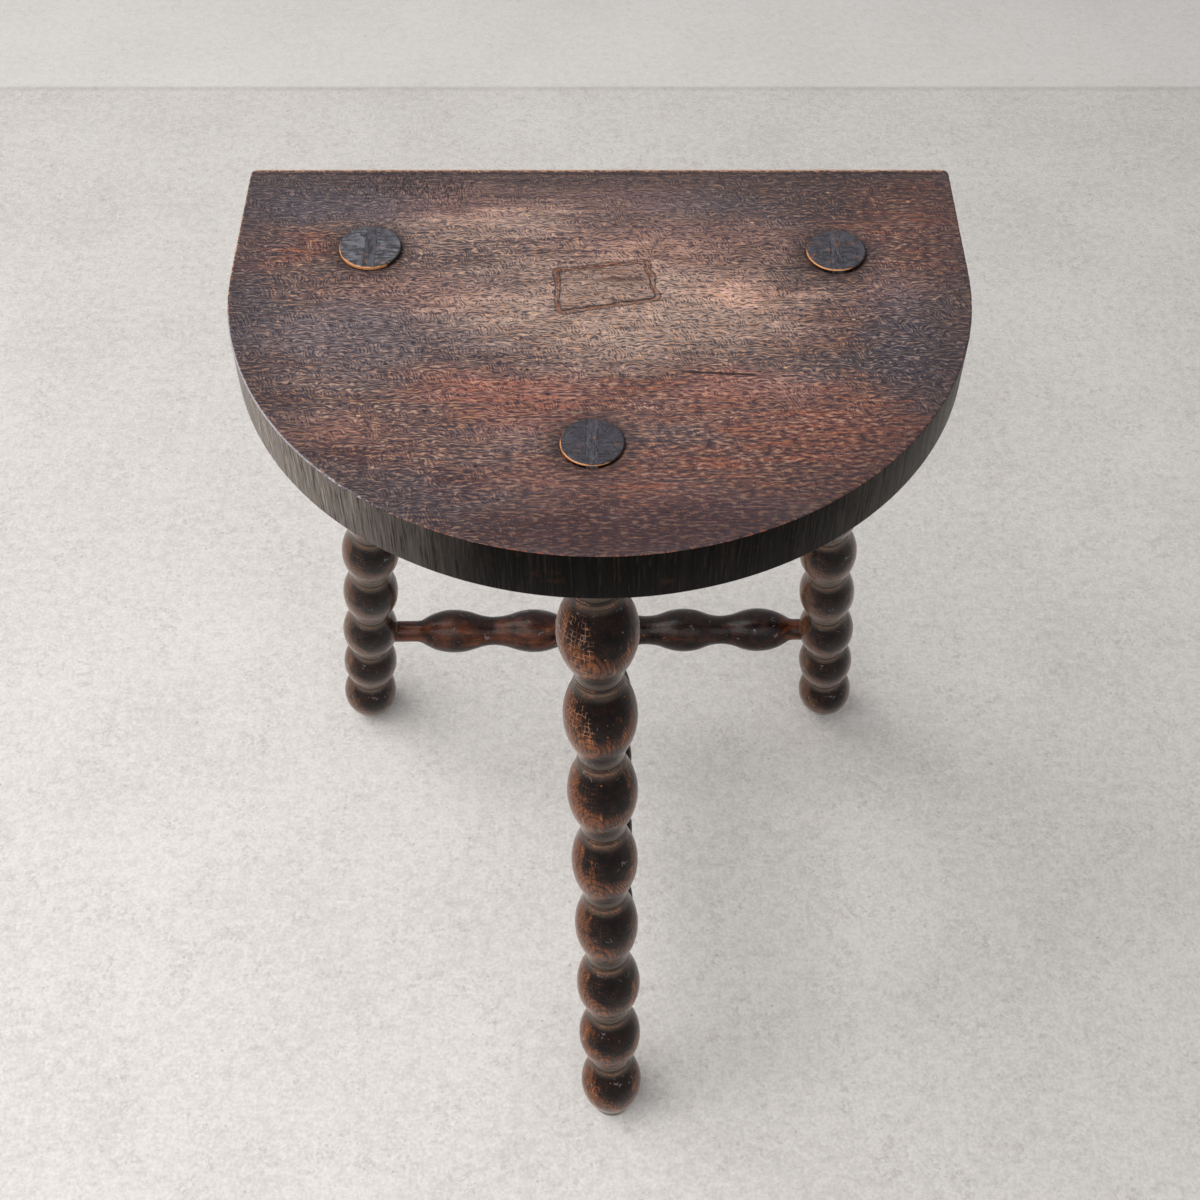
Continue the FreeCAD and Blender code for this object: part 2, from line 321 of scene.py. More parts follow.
class NodeSheet:
    """A material's nodes, with a short call for each kind that the finishes use."""

    def __init__(self, name: str) -> None:
        """Start an empty material with a name."""
        self.material = bpy.data.materials.new(name)
        self.material.use_nodes = True
        self.tree = self.material.node_tree
        self.tree.nodes.clear()

    def add(self, kind: str, **settings: Any) -> bpy.types.Node:
        """Add a node and set its options."""
        node = self.tree.nodes.new(kind)
        for name, value in settings.items():
            setattr(node, name, value)
        return node

    def feed(self, socket: Socket, value: Value) -> None:
        """Link a socket to a worked-out value, or set it to a plain one."""
        if isinstance(value, Level):
            self.tree.links.new(value.socket, socket)
        else:
            socket.default_value = value

    def place(self) -> Level:
        """The point's place in the stool's own frame."""
        return Level(self, self.add("ShaderNodeTexCoord").outputs["Object"])

    def facing(self) -> Level:
        """The way the surface faces."""
        return Level(self, self.add("ShaderNodeNewGeometry").outputs["Normal"])

    def stored(self, name: str, output: str) -> Level:
        """A value that the piece's own mesh carries at each point."""
        return Level(self, self.add("ShaderNodeAttribute", attribute_name=name).outputs[output])

    def mapped(
        self, place: Value, scale: Triple = (1.0, 1.0, 1.0), turn: Triple = (0.0, 0.0, 0.0),
        shift: Triple = (0.0, 0.0, 0.0),
    ) -> Level:
        """Scale, turn and then shift a place.

        Args:
            place: The place to start from.
            scale: The scale along each axis.
            turn: The turn about each axis, in degrees.
            shift: What is added at the end.

        Returns:
            The new place.
        """
        node = self.add("ShaderNodeMapping", vector_type="POINT")
        self.feed(node.inputs["Vector"], place)
        node.inputs["Scale"].default_value = scale
        node.inputs["Rotation"].default_value = [math.radians(angle) for angle in turn]
        node.inputs["Location"].default_value = shift
        return Level(self, node.outputs["Vector"])

    def in_mm(self, place: Level, shift: Triple = (0.0, 0.0, 0.0)) -> Level:
        """A place in millimetres."""
        return self.mapped(place, scale=(1 / MM, 1 / MM, 1 / MM), shift=shift)

    def texture(
        self, kind: str, place: Value, scale: Union[float, Triple], shift: Optional[Triple], **settings: float
    ) -> bpy.types.Node:
        """Add a texture at a place.

        Args:
            kind: The texture's kind of node.
            place: Where it is worked out.
            scale: Its scale, or one for each axis.
            shift: How far it is moved, if it is.
            **settings: Its inputs, with their names in small letters.

        Returns:
            The texture's node.
        """
        stretch = scale if isinstance(scale, tuple) else (1.0, 1.0, 1.0)
        if stretch is scale or shift is not None:
            place = self.mapped(place, scale=stretch, shift=shift or (0.0, 0.0, 0.0))
        node = self.add(kind)
        self.feed(node.inputs["Vector"], place)
        node.inputs["Scale"].default_value = 1.0 if stretch is scale else scale
        for name, value in settings.items():
            node.inputs[name.capitalize()].default_value = value
        return node

    def cloud(
        self, place: Value, scale: Union[float, Triple], detail: float = 2.0, rough: float = 0.5,
        twist: float = 0.0, shift: Optional[Triple] = None,
    ) -> Level:
        """The strength of soft cloud noise at a place, from 0 to 1 about a half."""
        node = self.texture(
            "ShaderNodeTexNoise", place, scale, shift, detail=detail, roughness=rough, distortion=twist
        )
        return Level(self, node.outputs["Fac"])

    def push(
        self, place: Value, scale: Union[float, Triple], reach: Triple, detail: float = 2.0,
        rough: float = 0.5,
    ) -> Level:
        """A soft random step of up to half a reach each way."""
        node = self.texture("ShaderNodeTexNoise", place, scale, None, detail=detail, roughness=rough)
        step = self.vector("SUBTRACT", Level(self, node.outputs["Color"]), (0.5, 0.5, 0.5))
        return self.vector("MULTIPLY", step, reach)

    def specks(
        self, place: Value, scale: Union[float, Triple], size: tuple[float, float],
        rarity: tuple[float, float], channel: int = 0, shift: Optional[Triple] = None,
    ) -> Level:
        """Scattered specks, pits or flecks.

        Args:
            place: Where they are worked out.
            scale: How close they lie.
            size: The distances from a cell's middle where a speck ends and where it is full.
            rarity: The chances from which a cell has a faint speck and a full one.
            channel: Which of the cell's random numbers is its chance.
            shift: How far they are moved, if they are.

        Returns:
            1 on a speck and 0 away from it.
        """
        node = self.texture("ShaderNodeTexVoronoi", place, scale, shift)
        chance = Level(self, node.outputs["Color"]).parts()[channel]
        return Level(self, node.outputs["Distance"]).fade(*size) * chance.fade(*rarity)

    def rings(self, place: Value, spacing: float, twist: float, twist_scale: float) -> Level:
        """Growth rings about the local Z axis, with a spacing in the place's own unit."""
        node = self.add("ShaderNodeTexWave", wave_type="RINGS", rings_direction="Z", wave_profile="SIN")
        self.feed(node.inputs["Vector"], place)
        node.inputs["Scale"].default_value = 2 * math.pi / (20.0 * spacing)
        node.inputs["Distortion"].default_value = twist
        node.inputs["Detail"].default_value = 2.0
        node.inputs["Detail Scale"].default_value = twist_scale
        return Level(self, node.outputs["Fac"])

    def math(self, operation: str, first: Value, second: Value = 0.0, clamp: bool = False) -> Level:
        """One sum on numbers."""
        node = self.add("ShaderNodeMath", operation=operation, use_clamp=clamp)
        self.feed(node.inputs[0], first)
        self.feed(node.inputs[1], second)
        return Level(self, node.outputs[0])

    def vector(self, operation: str, first: Value, second: Value = (0.0, 0.0, 0.0)) -> Level:
        """One sum on places, which gives a number for a length, a distance or a lean."""
        node = self.add("ShaderNodeVectorMath", operation=operation)
        self.feed(node.inputs[0], first)
        self.feed(node.inputs[1], second)
        is_number = operation in ("LENGTH", "DISTANCE", "DOT_PRODUCT")
        return Level(self, node.outputs["Value" if is_number else "Vector"])

    def join(self, *numbers: Value) -> Level:
        """A place from three numbers."""
        node = self.add("ShaderNodeCombineXYZ")
        for socket, value in zip(node.inputs, numbers):
            self.feed(socket, value)
        return Level(self, node.outputs[0])

    def mix(self, share: Value, under: Value, over: Value, blend: str = "MIX") -> Level:
        """Lay one colour over another.

        Args:
            share: How much of the upper colour shows, from 0 to 1.
            under: The lower colour.
            over: The upper colour.
            blend: How the two are put together.

        Returns:
            The mixed colour.
        """
        node = self.add("ShaderNodeMix", data_type="RGBA", blend_type=blend, clamp_factor=True)
        for index, value in ((0, share), (6, under), (7, over)):
            self.feed(node.inputs[index], value)
        return Level(self, node.outputs[2])

    def contour_lines(self, soft: Level, count: float, width: float) -> Level:
        """Thin lines where a soft field crosses evenly spaced levels.

        Args:
            soft: The field that the lines follow.
            count: How many levels lie between 0 and 1.
            width: The half width of a line, as a share of the gap between levels.

        Returns:
            1 on a line and 0 away from it.
        """
        return abs(self.math("FRACT", soft * count) - 0.5).fade(width, width * 0.4)

    def squiggles(self, place: Level, period: float, curl: Value, curl_size: float) -> Level:
        """Short curling strokes that mostly run along X, like raised fibres.

        Args:
            place: The place, in millimetres.
            period: How far one stroke lies from the next.
            curl: How strongly the strokes are bent, in periods.
            curl_size: How far one bend lies from the next.

        Returns:
            From -1 in the gap between two strokes to 1 on a stroke.
        """
        bend = self.cloud(place, (0.7 / curl_size, 1 / curl_size, 0.0), 1.0)
        return self.math("SINE", (place.parts()[1] / period + bend * curl) * (2 * math.pi))

    def bump(
        self, height: Level, depth: float, strength: float = 1.0, under: Optional[Level] = None
    ) -> Level:
        """Relief of a given depth, laid over another relief if there is one."""
        node = self.add("ShaderNodeBump")
        node.inputs["Strength"].default_value = strength
        node.inputs["Distance"].default_value = depth
        self.feed(node.inputs["Height"], height)
        if under is not None:
            self.feed(node.inputs["Normal"], under)
        return Level(self, node.outputs["Normal"])


class Paint:
    """The colour of one surface, as layers are laid on it one after another."""

    COAT_DULLNESS = 0.16
    COAT_BENDING = 1.22
    BLOOM_DULLNESS = 0.25
    BLOOM_TINT = (0.9, 0.72, 0.6, 1.0)

    def __init__(self, sheet: NodeSheet, share: Value, under: Value, over: Value) -> None:
        """Start with a first pair of colours and the share of the upper one."""
        self.sheet = sheet
        self.colour = sheet.mix(share, under, over)

    def lay(self, share: Value, over: Value, blend: str = "MIX") -> None:
        """Lay one more colour over a share of the surface."""
        self.colour = self.sheet.mix(share, self.colour, over, blend)

    def close(
        self, rough: Value, normal: Level, gloss: float = 0.5, coat: float = 0.0, bloom: float = 0.0
    ) -> None:
        """Close the material with a waxed or dull surface.

        Args:
            rough: How dull the shine is.
            normal: The relief.
            gloss: How strong the shine is.
            coat: How much clear wax lies over it.
            bloom: How much the wax looks pale where it is seen edge on.
        """
        shader = self.sheet.add("ShaderNodeBsdfPrincipled")
        for name, value in (("Base Color", self.colour), ("Roughness", rough), ("Normal", normal)):
            self.sheet.feed(shader.inputs[name], value)
        shader.inputs["Specular IOR Level"].default_value = gloss
        shader.inputs["Coat Weight"].default_value = coat
        shader.inputs["Coat Roughness"].default_value = self.COAT_DULLNESS
        shader.inputs["Coat IOR"].default_value = self.COAT_BENDING
        shader.inputs["Sheen Weight"].default_value = bloom
        shader.inputs["Sheen Roughness"].default_value = self.BLOOM_DULLNESS
        shader.inputs["Sheen Tint"].default_value = self.BLOOM_TINT
        output = self.sheet.add("ShaderNodeOutputMaterial")
        self.sheet.tree.links.new(shader.outputs[0], output.inputs["Surface"])


@dataclass(frozen=True)
class Finish:
    """A finish that is worked out from places on the piece, with no picture behind it."""

    name: str

    def make(self) -> bpy.types.Material:
        """Build the finish.

        Returns:
            The finish's own new material.
        """
        sheet = NodeSheet(self.name)
        self.cover(sheet)
        return sheet.material

    def cover(self, sheet: NodeSheet) -> None:
        """Lay every layer of the finish on an empty sheet and close it."""
        raise NotImplementedError


@dataclass(frozen=True)
class Patch:
    """A soft-edged patch of one stain on the seat top, in millimetres from the round's middle."""

    across: float
    back: float
    half_length: float
    half_depth: float
    strength: float = 1.0


@dataclass(frozen=True)
class SeatTopFinish(Finish):
    """Old dark stain on the seat top, worn to tan in the middle under a painted sheen, and reddish toward the
    front.
    """

    middle: Vector
    radius: float
    back_edge: float
    studs: tuple[Vector, ...]
    mark_middle: Vector
    mark_half: tuple[float, float]
    mark_slip: tuple[float, float]
    mark_turn: float
    mark_corner: float = 2.2
    brown: Colour = stain(106, 88, 84)
    charcoal: Colour = stain(80, 73, 79)
    tan: Colour = stain(178, 152, 140)
    russet: Colour = stain(114, 73, 64)
    slate: Colour = stain(108, 97, 101)
    maroon: Colour = stain(78, 48, 48)
    light_fibre: Colour = stain(210, 174, 148)
    orange_fibre: Colour = stain(200, 146, 110)
    fibre_gap_shade: Colour = stain(38, 34, 44)
    painted_sheen_gain: tuple[float, float, float] = (1.9, 1.62, 1.5)
    charcoal_patches: tuple[Patch, ...] = (
        Patch(-108, 46, 48, 22, 0.95), Patch(-132, -22, 14, 46, 0.8), Patch(44, 44, 44, 10, 0.55),
        Patch(116, -40, 24, 36, 0.9), Patch(-44, -4, 26, 7, 0.3), Patch(28, 2, 24, 6, 0.35),
        Patch(-66, -112, 34, 10, 0.5),
    )
    tan_patches: tuple[Patch, ...] = (
        Patch(8, -18, 78, 34, 0.75), Patch(42, -16, 44, 20, 0.8), Patch(-44, 28, 44, 16, 0.5),
        Patch(-104, 10, 26, 9, 0.15),
    )
    russet_patches: tuple[Patch, ...] = (
        Patch(-118, 12, 30, 12, 0.65), Patch(118, 30, 34, 40, 0.5), Patch(76, -28, 44, 18, 0.3),
        Patch(84, -84, 50, 26, 0.9), Patch(-4, -66, 96, 20, 0.6), Patch(-78, -92, 44, 24, 0.35),
        Patch(20, -104, 74, 20, 0.6),
    )
    slate_patches: tuple[Patch, ...] = (Patch(-92, -36, 50, 22, 0.75),)
    maroon_patches: tuple[Patch, ...] = (
        Patch(6, -130, 84, 15, 0.85), Patch(-86, -98, 20, 7, 0.7), Patch(-48, -108, 24, 6, 0.7),
        Patch(-122, -66, 12, 26, 0.5), Patch(96, -116, 30, 14, 0.5),
    )
    sheen_and_wear_patches: tuple[Patch, ...] = (
        Patch(-62, 44, 44, 14, 0.75), Patch(30, 16, 56, 17, 0.9), Patch(2, 44, 46, 12, 0.55),
        Patch(108, -12, 18, 12, 0.5), Patch(-74, -9, 36, 13, 0.8), Patch(58, -10, 22, 10, 0.9),
        Patch(-36, -62, 34, 14, 0.9), Patch(56, -60, 32, 9, 0.8), Patch(-24, -82, 26, 9, 0.8),
        Patch(-98, -82, 18, 12, 0.7),
    )
    dim_patches: tuple[Patch, ...] = (
        Patch(98, 46, 50, 18), Patch(114, 18, 18, 14, 0.7), Patch(108, -44, 24, 26, 0.6),
        Patch(52, -104, 56, 16, 0.6), Patch(0, -126, 70, 12, 0.5), Patch(-24, -32, 16, 8, 0.5),
    )
    figure_patches: tuple[Patch, ...] = (Patch(-78, 52, 26, 13), Patch(-58, 50, 10, 12))
    crack_patch: Patch = Patch(44, -53.6, 13, 4)
    crack_slope: float = 0.06
    crack_ahead: float = 51.2

    def patches(self, sheet: NodeSheet, place: Level, patches: Sequence[Patch]) -> Level:
        """How strongly any of some patches covers a place."""
        total: Value = 0.0
        for patch in patches:
            local = sheet.mapped(
                place,
                scale=(1 / patch.half_length, 1 / patch.half_depth, 0.0),
                shift=(-patch.across / patch.half_length, -patch.back / patch.half_depth, 0.0),
            )
            cover = sheet.vector("LENGTH", local).fade(1.35, 0.25) * patch.strength
            total = sheet.math("MAXIMUM", total, cover)
        return total

    def edge_distance(self, sheet: NodeSheet, place: Level) -> tuple[Level, Level]:
        """How far a place lies from the round and side edges, and from the straight back edge."""
        x, y, _ = place.parts()
        out = sheet.vector("LENGTH", sheet.join(x, y.least(0.0), 0.0))
        return self.radius / MM - out, self.back_edge / MM - y

    def mark_lines(self, sheet: NodeSheet, place: Level) -> tuple[Level, Level, Level]:
        """The scribed rectangle: its brown line, the painted shadow line beside it and its field."""
        turn = math.radians(-self.mark_turn)
        middle = self.mark_middle
        shift_x = -(middle.x * math.cos(turn) - middle.y * math.sin(turn))
        shift_y = -(middle.x * math.sin(turn) + middle.y * math.cos(turn))
        x, y, _ = sheet.mapped(place, turn=(0.0, 0.0, -self.mark_turn), shift=(shift_x, shift_y, 0.0)).parts()
        half_x, half_y = self.mark_half
        slipped = x.fade(half_x, -half_x) * y.fade(half_y, -half_y)
        over_x = abs(x - slipped * self.mark_slip[0]) - (half_x - self.mark_corner)
        over_y = abs(y - slipped * self.mark_slip[1]) - (half_y - self.mark_corner)
        outside = sheet.vector("LENGTH", sheet.join(over_x.most(0.0), over_y.most(0.0), 0.0))
        away = outside + over_x.most(over_y).least(0.0) - self.mark_corner
        away = away + sheet.cloud(place, 0.16, 3.0).span(-1.9, 1.9)
        beside = abs(abs(away) - 1.05)
        return abs(away).fade(0.95, 0.35), beside.fade(0.6, 0.15), away.fade(0.0, -2.0)

    def cover(self, sheet: NodeSheet) -> None:
        """Lay the stains with a painted sheen, the fibres with painted highlight and shade, the marks of use
        and the worn edge with a painted highlight, in that order.
        """
        shift = (-self.middle.x / MM, -self.middle.y / MM, 0.0)
        place = sheet.in_mm(sheet.place(), shift)
        x, y, _ = place.parts()

        # Stain patches with ragged edges drawn out along the grain
        push = sheet.push(place, (0.02, 0.055, 0.0), (90.0, 46.0, 0.0), 5.0, 0.62)
        torn = sheet.vector("ADD", place, push)
        nearly = sheet.vector("ADD", place, sheet.vector("MULTIPLY", push, (0.4, 0.4, 0.0)))
        streak = sheet.cloud(place, (0.016, 0.42, 0.0), 5.0, 0.6)
        fine_streak = sheet.cloud(place, (0.06, 1.5, 0.0), 4.0, shift=(4.0, 9.0, 0.0))
        mottle = sheet.cloud(place, (0.05, 0.11, 0.0), 6.0, 0.65)
        paint = Paint(sheet, streak.fade(0.36, 0.64), stain(84, 70, 72), self.brown)
        covers = []
        for patches, tint in (
            (self.russet_patches, self.russet), (self.tan_patches, self.tan),
            (self.charcoal_patches, self.charcoal), (self.slate_patches, self.slate),
            (self.maroon_patches, self.maroon),
        ):
            covers.append(self.patches(sheet, torn, patches))
            ragged = sheet.math("ADD", covers[-1], streak.span(-0.8, 0.8), clamp=True)
            paint.lay(ragged * covers[-1].fade(0.02, 0.3), tint)
        russet, tan, charcoal, slate, _ = covers
        # Random tone, darker under the dim patches, then brightened and warmed over the sheen patches: partly
        # wear, partly a painted sheen
        tone = fine_streak.span(-0.25, 0.25) + mottle.span(0.55, 1.45)
        tone = tone * self.patches(sheet, nearly, self.dim_patches).span(1.0, 0.62)
        sheen_and_wear = self.patches(sheet, nearly, self.sheen_and_wear_patches)
        paint.lay(1.0, sheet.join(*(tone * sheen_and_wear.span(1.0, most) for most in self.painted_sheen_gain)), "MULTIPLY")

        # Long thin streaks of bare and of dark wood along the grain
        hair = sheet.cloud(place, (0.045, 0.95, 0.0), 3.0, 0.6, shift=(2.0, 6.0, 0.0))
        paint.lay(hair.fade(0.6, 0.7) * mottle.fade(0.4, 0.6) * 0.5, stain(176, 112, 74))
        paint.lay(hair.fade(0.4, 0.3) * 0.6, stain(38, 32, 38))
        ember = sheet.cloud(place, (0.035, 0.4, 0.0), 4.0, 0.65, shift=(21.0, 16.0, 0.0))
        warm_zone = russet.most(mottle.span(-0.2, 0.7))
        paint.lay(ember.fade(0.5, 0.63) * warm_zone.fade(0.2, 0.7) * 0.5, stain(154, 86, 60))

        # Short curled fibres: a painted highlight on the raised ones, partly their own tan, and painted shade
        # in the gaps beside them
        torn_x, torn_y, _ = torn.parts()
        front_left = torn_x.fade(-12.0, -52.0)
        calm = torn_y.fade(-50.0, -95.0) * front_left.span(1.0, 0.3)
        calm = calm.most(russet * front_left.span(0.8, 0.4))
        lively = 1.0 - calm * 0.3
        choice = sheet.cloud(place, (0.08, 0.15, 0.0), shift=(50.0, 20.0, 0.0))
        bends = choice.fade(0.36, 0.6).span(2.4, 5.0) * lively
        across = choice.fade(0.5, 0.58) * 0.85 * lively
        curls = sheet.squiggles(place, 1.4, bends, 3.5) * (1.0 - across)
        curls = curls + sheet.squiggles(sheet.mapped(place, turn=(0.0, 0.0, 68.0)), 1.4, 3.6, 3.5) * across
        breaks = sheet.cloud(place, (0.42, 0.7, 0.0), shift=(31.0, 7.0, 0.0))
        curls = curls * breaks.fade(0.38, 0.56).span(0.25, 1.0)
        dashes = sheet.cloud(place, (0.3, 0.85, 0.0), 1.5, 0.6, shift=(17.0, 3.0, 0.0))
        curls = curls * calm.span(0.7, 0.4) + dashes.span(-3.4, 3.4) * calm.span(0.45, 0.7)
        at_front = torn_y.fade(-92.0, -126.0) * front_left.span(1.0, 0.2)
        fibre_highlight_lines = curls.fade(0.16, 0.72) * calm.span(1.0, 0.9) * at_front.span(1.0, 0.5)
        dark_lines = curls.fade(-0.05, -0.62) * at_front.span(1.0, 0.7)
        tint = sheet.mix(mottle.fade(0.42, 0.58), self.orange_fibre, self.light_fibre)
        tint = sheet.mix(charcoal.most(slate) * 0.75, tint, stain(166, 150, 148))
        quiet = torn_y.fade(14.0, 40.0)
        bright = tan.span(0.44, 0.96).most(front_left * 0.5) * quiet.span(1.0, 0.72)
        paint.lay(fibre_highlight_lines * bright, tint)
        paint.lay(dark_lines * quiet.span(0.76, 0.58), self.fibre_gap_shade)

        # Pits and pale specks
        pit = sheet.specks(place, (0.12, 0.2, 0.0), (0.13, 0.06), (0.5, 0.55))
        paint.lay(pit * 0.85, stain(26, 24, 32))
        speck = sheet.specks(place, (0.09, 0.16, 0.0), (0.09, 0.04), (0.72, 0.76), 1, (3.0, 5.0, 0.0))
        paint.lay(speck * 0.8, stain(220, 178, 140))

        # A dark curl of figure by the back left corner, and one short crack ahead of the middle
        slant = sheet.mapped(place, (0.16, 0.05, 0.0), (0.0, 0.0, 24.0))
        swirl = sheet.contour_lines(sheet.cloud(slant, 1.0, twist=1.4), 7.0, 0.2)
        figure = swirl * self.patches(sheet, place, self.figure_patches)
        paint.lay(figure * 0.75, stain(34, 28, 32))
        crack = abs(x * self.crack_slope + self.crack_ahead + y).fade(0.75, 0.25)
        crack = crack * self.patches(sheet, place, (self.crack_patch,)).fade(0.1, 0.4)
        paint.lay(crack * 0.95, stain(20, 16, 18))

        # Grime round each stud, and the scribed rectangle with a painted shadow line beside its groove
        grime: Value = 0.0
        for stud in self.studs:
            away = sheet.vector("DISTANCE", place, (stud.x / MM, stud.y / MM, self.middle.z / MM))
            grime = sheet.math("MAXIMUM", grime, away.fade(21.0, 11.0))
        paint.lay(grime * 0.55, stain(48, 40, 42))
        brown_line, groove_shadow_line, inside = self.mark_lines(sheet, place)
        paint.lay(inside * 0.2, stain(96, 76, 68))
        smear = Patch(self.mark_middle.x + 6, self.mark_middle.y + 4, 13, 5)
        smeared = self.patches(sheet, place, (smear,)) * hair.fade(0.58, 0.46) * inside
        paint.lay(smeared * 0.7, stain(84, 54, 44))
        patchy = sheet.cloud(place, 0.17, 3.0, shift=(12.0, 3.0, 0.0)).fade(0.36, 0.6)
        paint.lay(brown_line * patchy.span(0.2, 0.85), stain(126, 78, 56))
        paint.lay(groove_shadow_line * patchy.span(0.85, 0.65), stain(38, 30, 33))

        # Worn edge: a broken pale line on the sides and back, a pale painted highlight along the left front,
        # reddish in front
        from_side, from_back = self.edge_distance(sheet, place)
        ragged = sheet.cloud(place, (0.5, 0.5, 0.0), 3.0, 0.6)
        paint.lay(from_side.least(from_back).fade(26.0, 1.0) * mottle.span(0.1, 0.75), stain(44, 34, 38))
        ahead = y.fade(-70.0, -120.0)
        on_right = x.fade(60.0, 120.0)
        painted_edge_highlight = x.fade(-60.0, -90.0) * y.fade(-14.0, -30.0)
        bare = sheet.mix(ahead, stain(200, 152, 118), stain(172, 94, 62))
        bare = sheet.mix(painted_edge_highlight, bare, stain(200, 196, 204))
        shake = ragged.span(-1.5, 1.5) * painted_edge_highlight.span(1.0, 0.15)
        width = from_side + shake + on_right * 0.8 - painted_edge_highlight * 0.1 - ahead * (1.0 - on_right) * 0.2
        worn = width.fade(0.6, 0.1).most((from_back + shake).fade(1.7, 1.1))
        broken = (1.0 - ahead).most(ragged.fade(0.52, 0.6))
        paint.lay(worn * (broken * painted_edge_highlight.span(0.8, 0.68)), bare)

        relief = fibre_highlight_lines - (dark_lines + pit * 1.5) - crack * 3.0 + hair * 1.2
        normal = sheet.bump(relief, 0.25 * MM, 0.8)
        normal = sheet.bump(mottle + figure * 0.4, 0.9 * MM, 0.7, normal)
        paint.close(mottle.span(0.4, 0.62) + dark_lines * 0.15, normal, gloss=0.25)


@dataclass(frozen=True)
class SeatRimFinish(Finish):
    """Near-black rim with fine upright scratches, painted paler grey on the left and faintly on the right as
    a painted sheen.
    """

    ink: Colour = stain(8, 7, 6)
    soot: Colour = stain(20, 18, 17)
    sheen_grey: Colour = stain(142, 132, 124)
    scratch: Colour = stain(92, 74, 60)
    pale_scratch: Colour = stain(176, 164, 150)

    def cover(self, sheet: NodeSheet) -> None:
        """Lay the black, the painted sheen on the sides, the scratches and a little rust."""
        place = sheet.in_mm(sheet.place())
        leaning = sheet.mapped(place, (1.0, 1.0, 0.055), (5.0, 4.0, 0.0))
        strokes = sheet.cloud(leaning, 1.15, 3.0, 0.65)
        wide = sheet.cloud(leaning, 0.28, 3.0, 0.6)
        paint = Paint(sheet, wide.fade(0.38, 0.66), self.ink, self.soot)
        across = place.parts()[0]
        painted_sheen = across.fade(-30.0, -125.0).most(across.fade(60.0, 138.0) * 0.3)
        paint.lay(painted_sheen * wide.span(0.5, 1.0), self.sheen_grey)
        thin = strokes.fade(0.57, 0.62) * painted_sheen.span(0.16, 1.0)
        patchy = sheet.cloud(place, 0.035, 4.0).fade(0.36, 0.6).span(0.35, 0.8)
        paint.lay(thin * patchy, sheet.mix(painted_sheen, self.scratch, self.pale_scratch))
        paint.lay(strokes.fade(0.46, 0.38) * 0.72, stain(9, 8, 8))
        paint.lay(sheet.cloud(place, 0.12, 3.0).fade(0.64, 0.74) * 0.2, stain(84, 50, 34))
        relief = sheet.bump(strokes + wide * 1.5, 0.6 * MM, 0.9)
        paint.close(wide.span(0.22, 0.4), relief, gloss=0.03, coat=0.04)


@dataclass(frozen=True)
class PlainWoodFinish(Finish):
    """Unwaxed, dusty brown wood for the seat's underside and the holes through it."""

    pale: Colour = stain(112, 88, 68)
    dark: Colour = stain(58, 44, 36)

    def cover(self, sheet: NodeSheet) -> None:
        """Lay the grain, the pores and the old stains."""
        place = sheet.in_mm(sheet.place())
        grain = sheet.cloud(place, (0.012, 0.34, 0.34), 5.0, 0.65)
        pores = sheet.cloud(place, (0.08, 1.9, 1.9), 3.0)
        saw = sheet.cloud(place, (0.5, 0.02, 0.02))
        paint = Paint(sheet, grain.fade(0.34, 0.66), self.dark, self.pale)
        paint.lay(pores.fade(0.52, 0.62) * 0.5, stain(34, 26, 22))
        paint.lay(sheet.cloud(place, 0.02, 4.0, 0.6).fade(0.5, 0.7) * 0.6, stain(48, 38, 34))
        paint.close(0.72, sheet.bump(pores + saw, 0.4 * MM, 0.7), gloss=0.3)


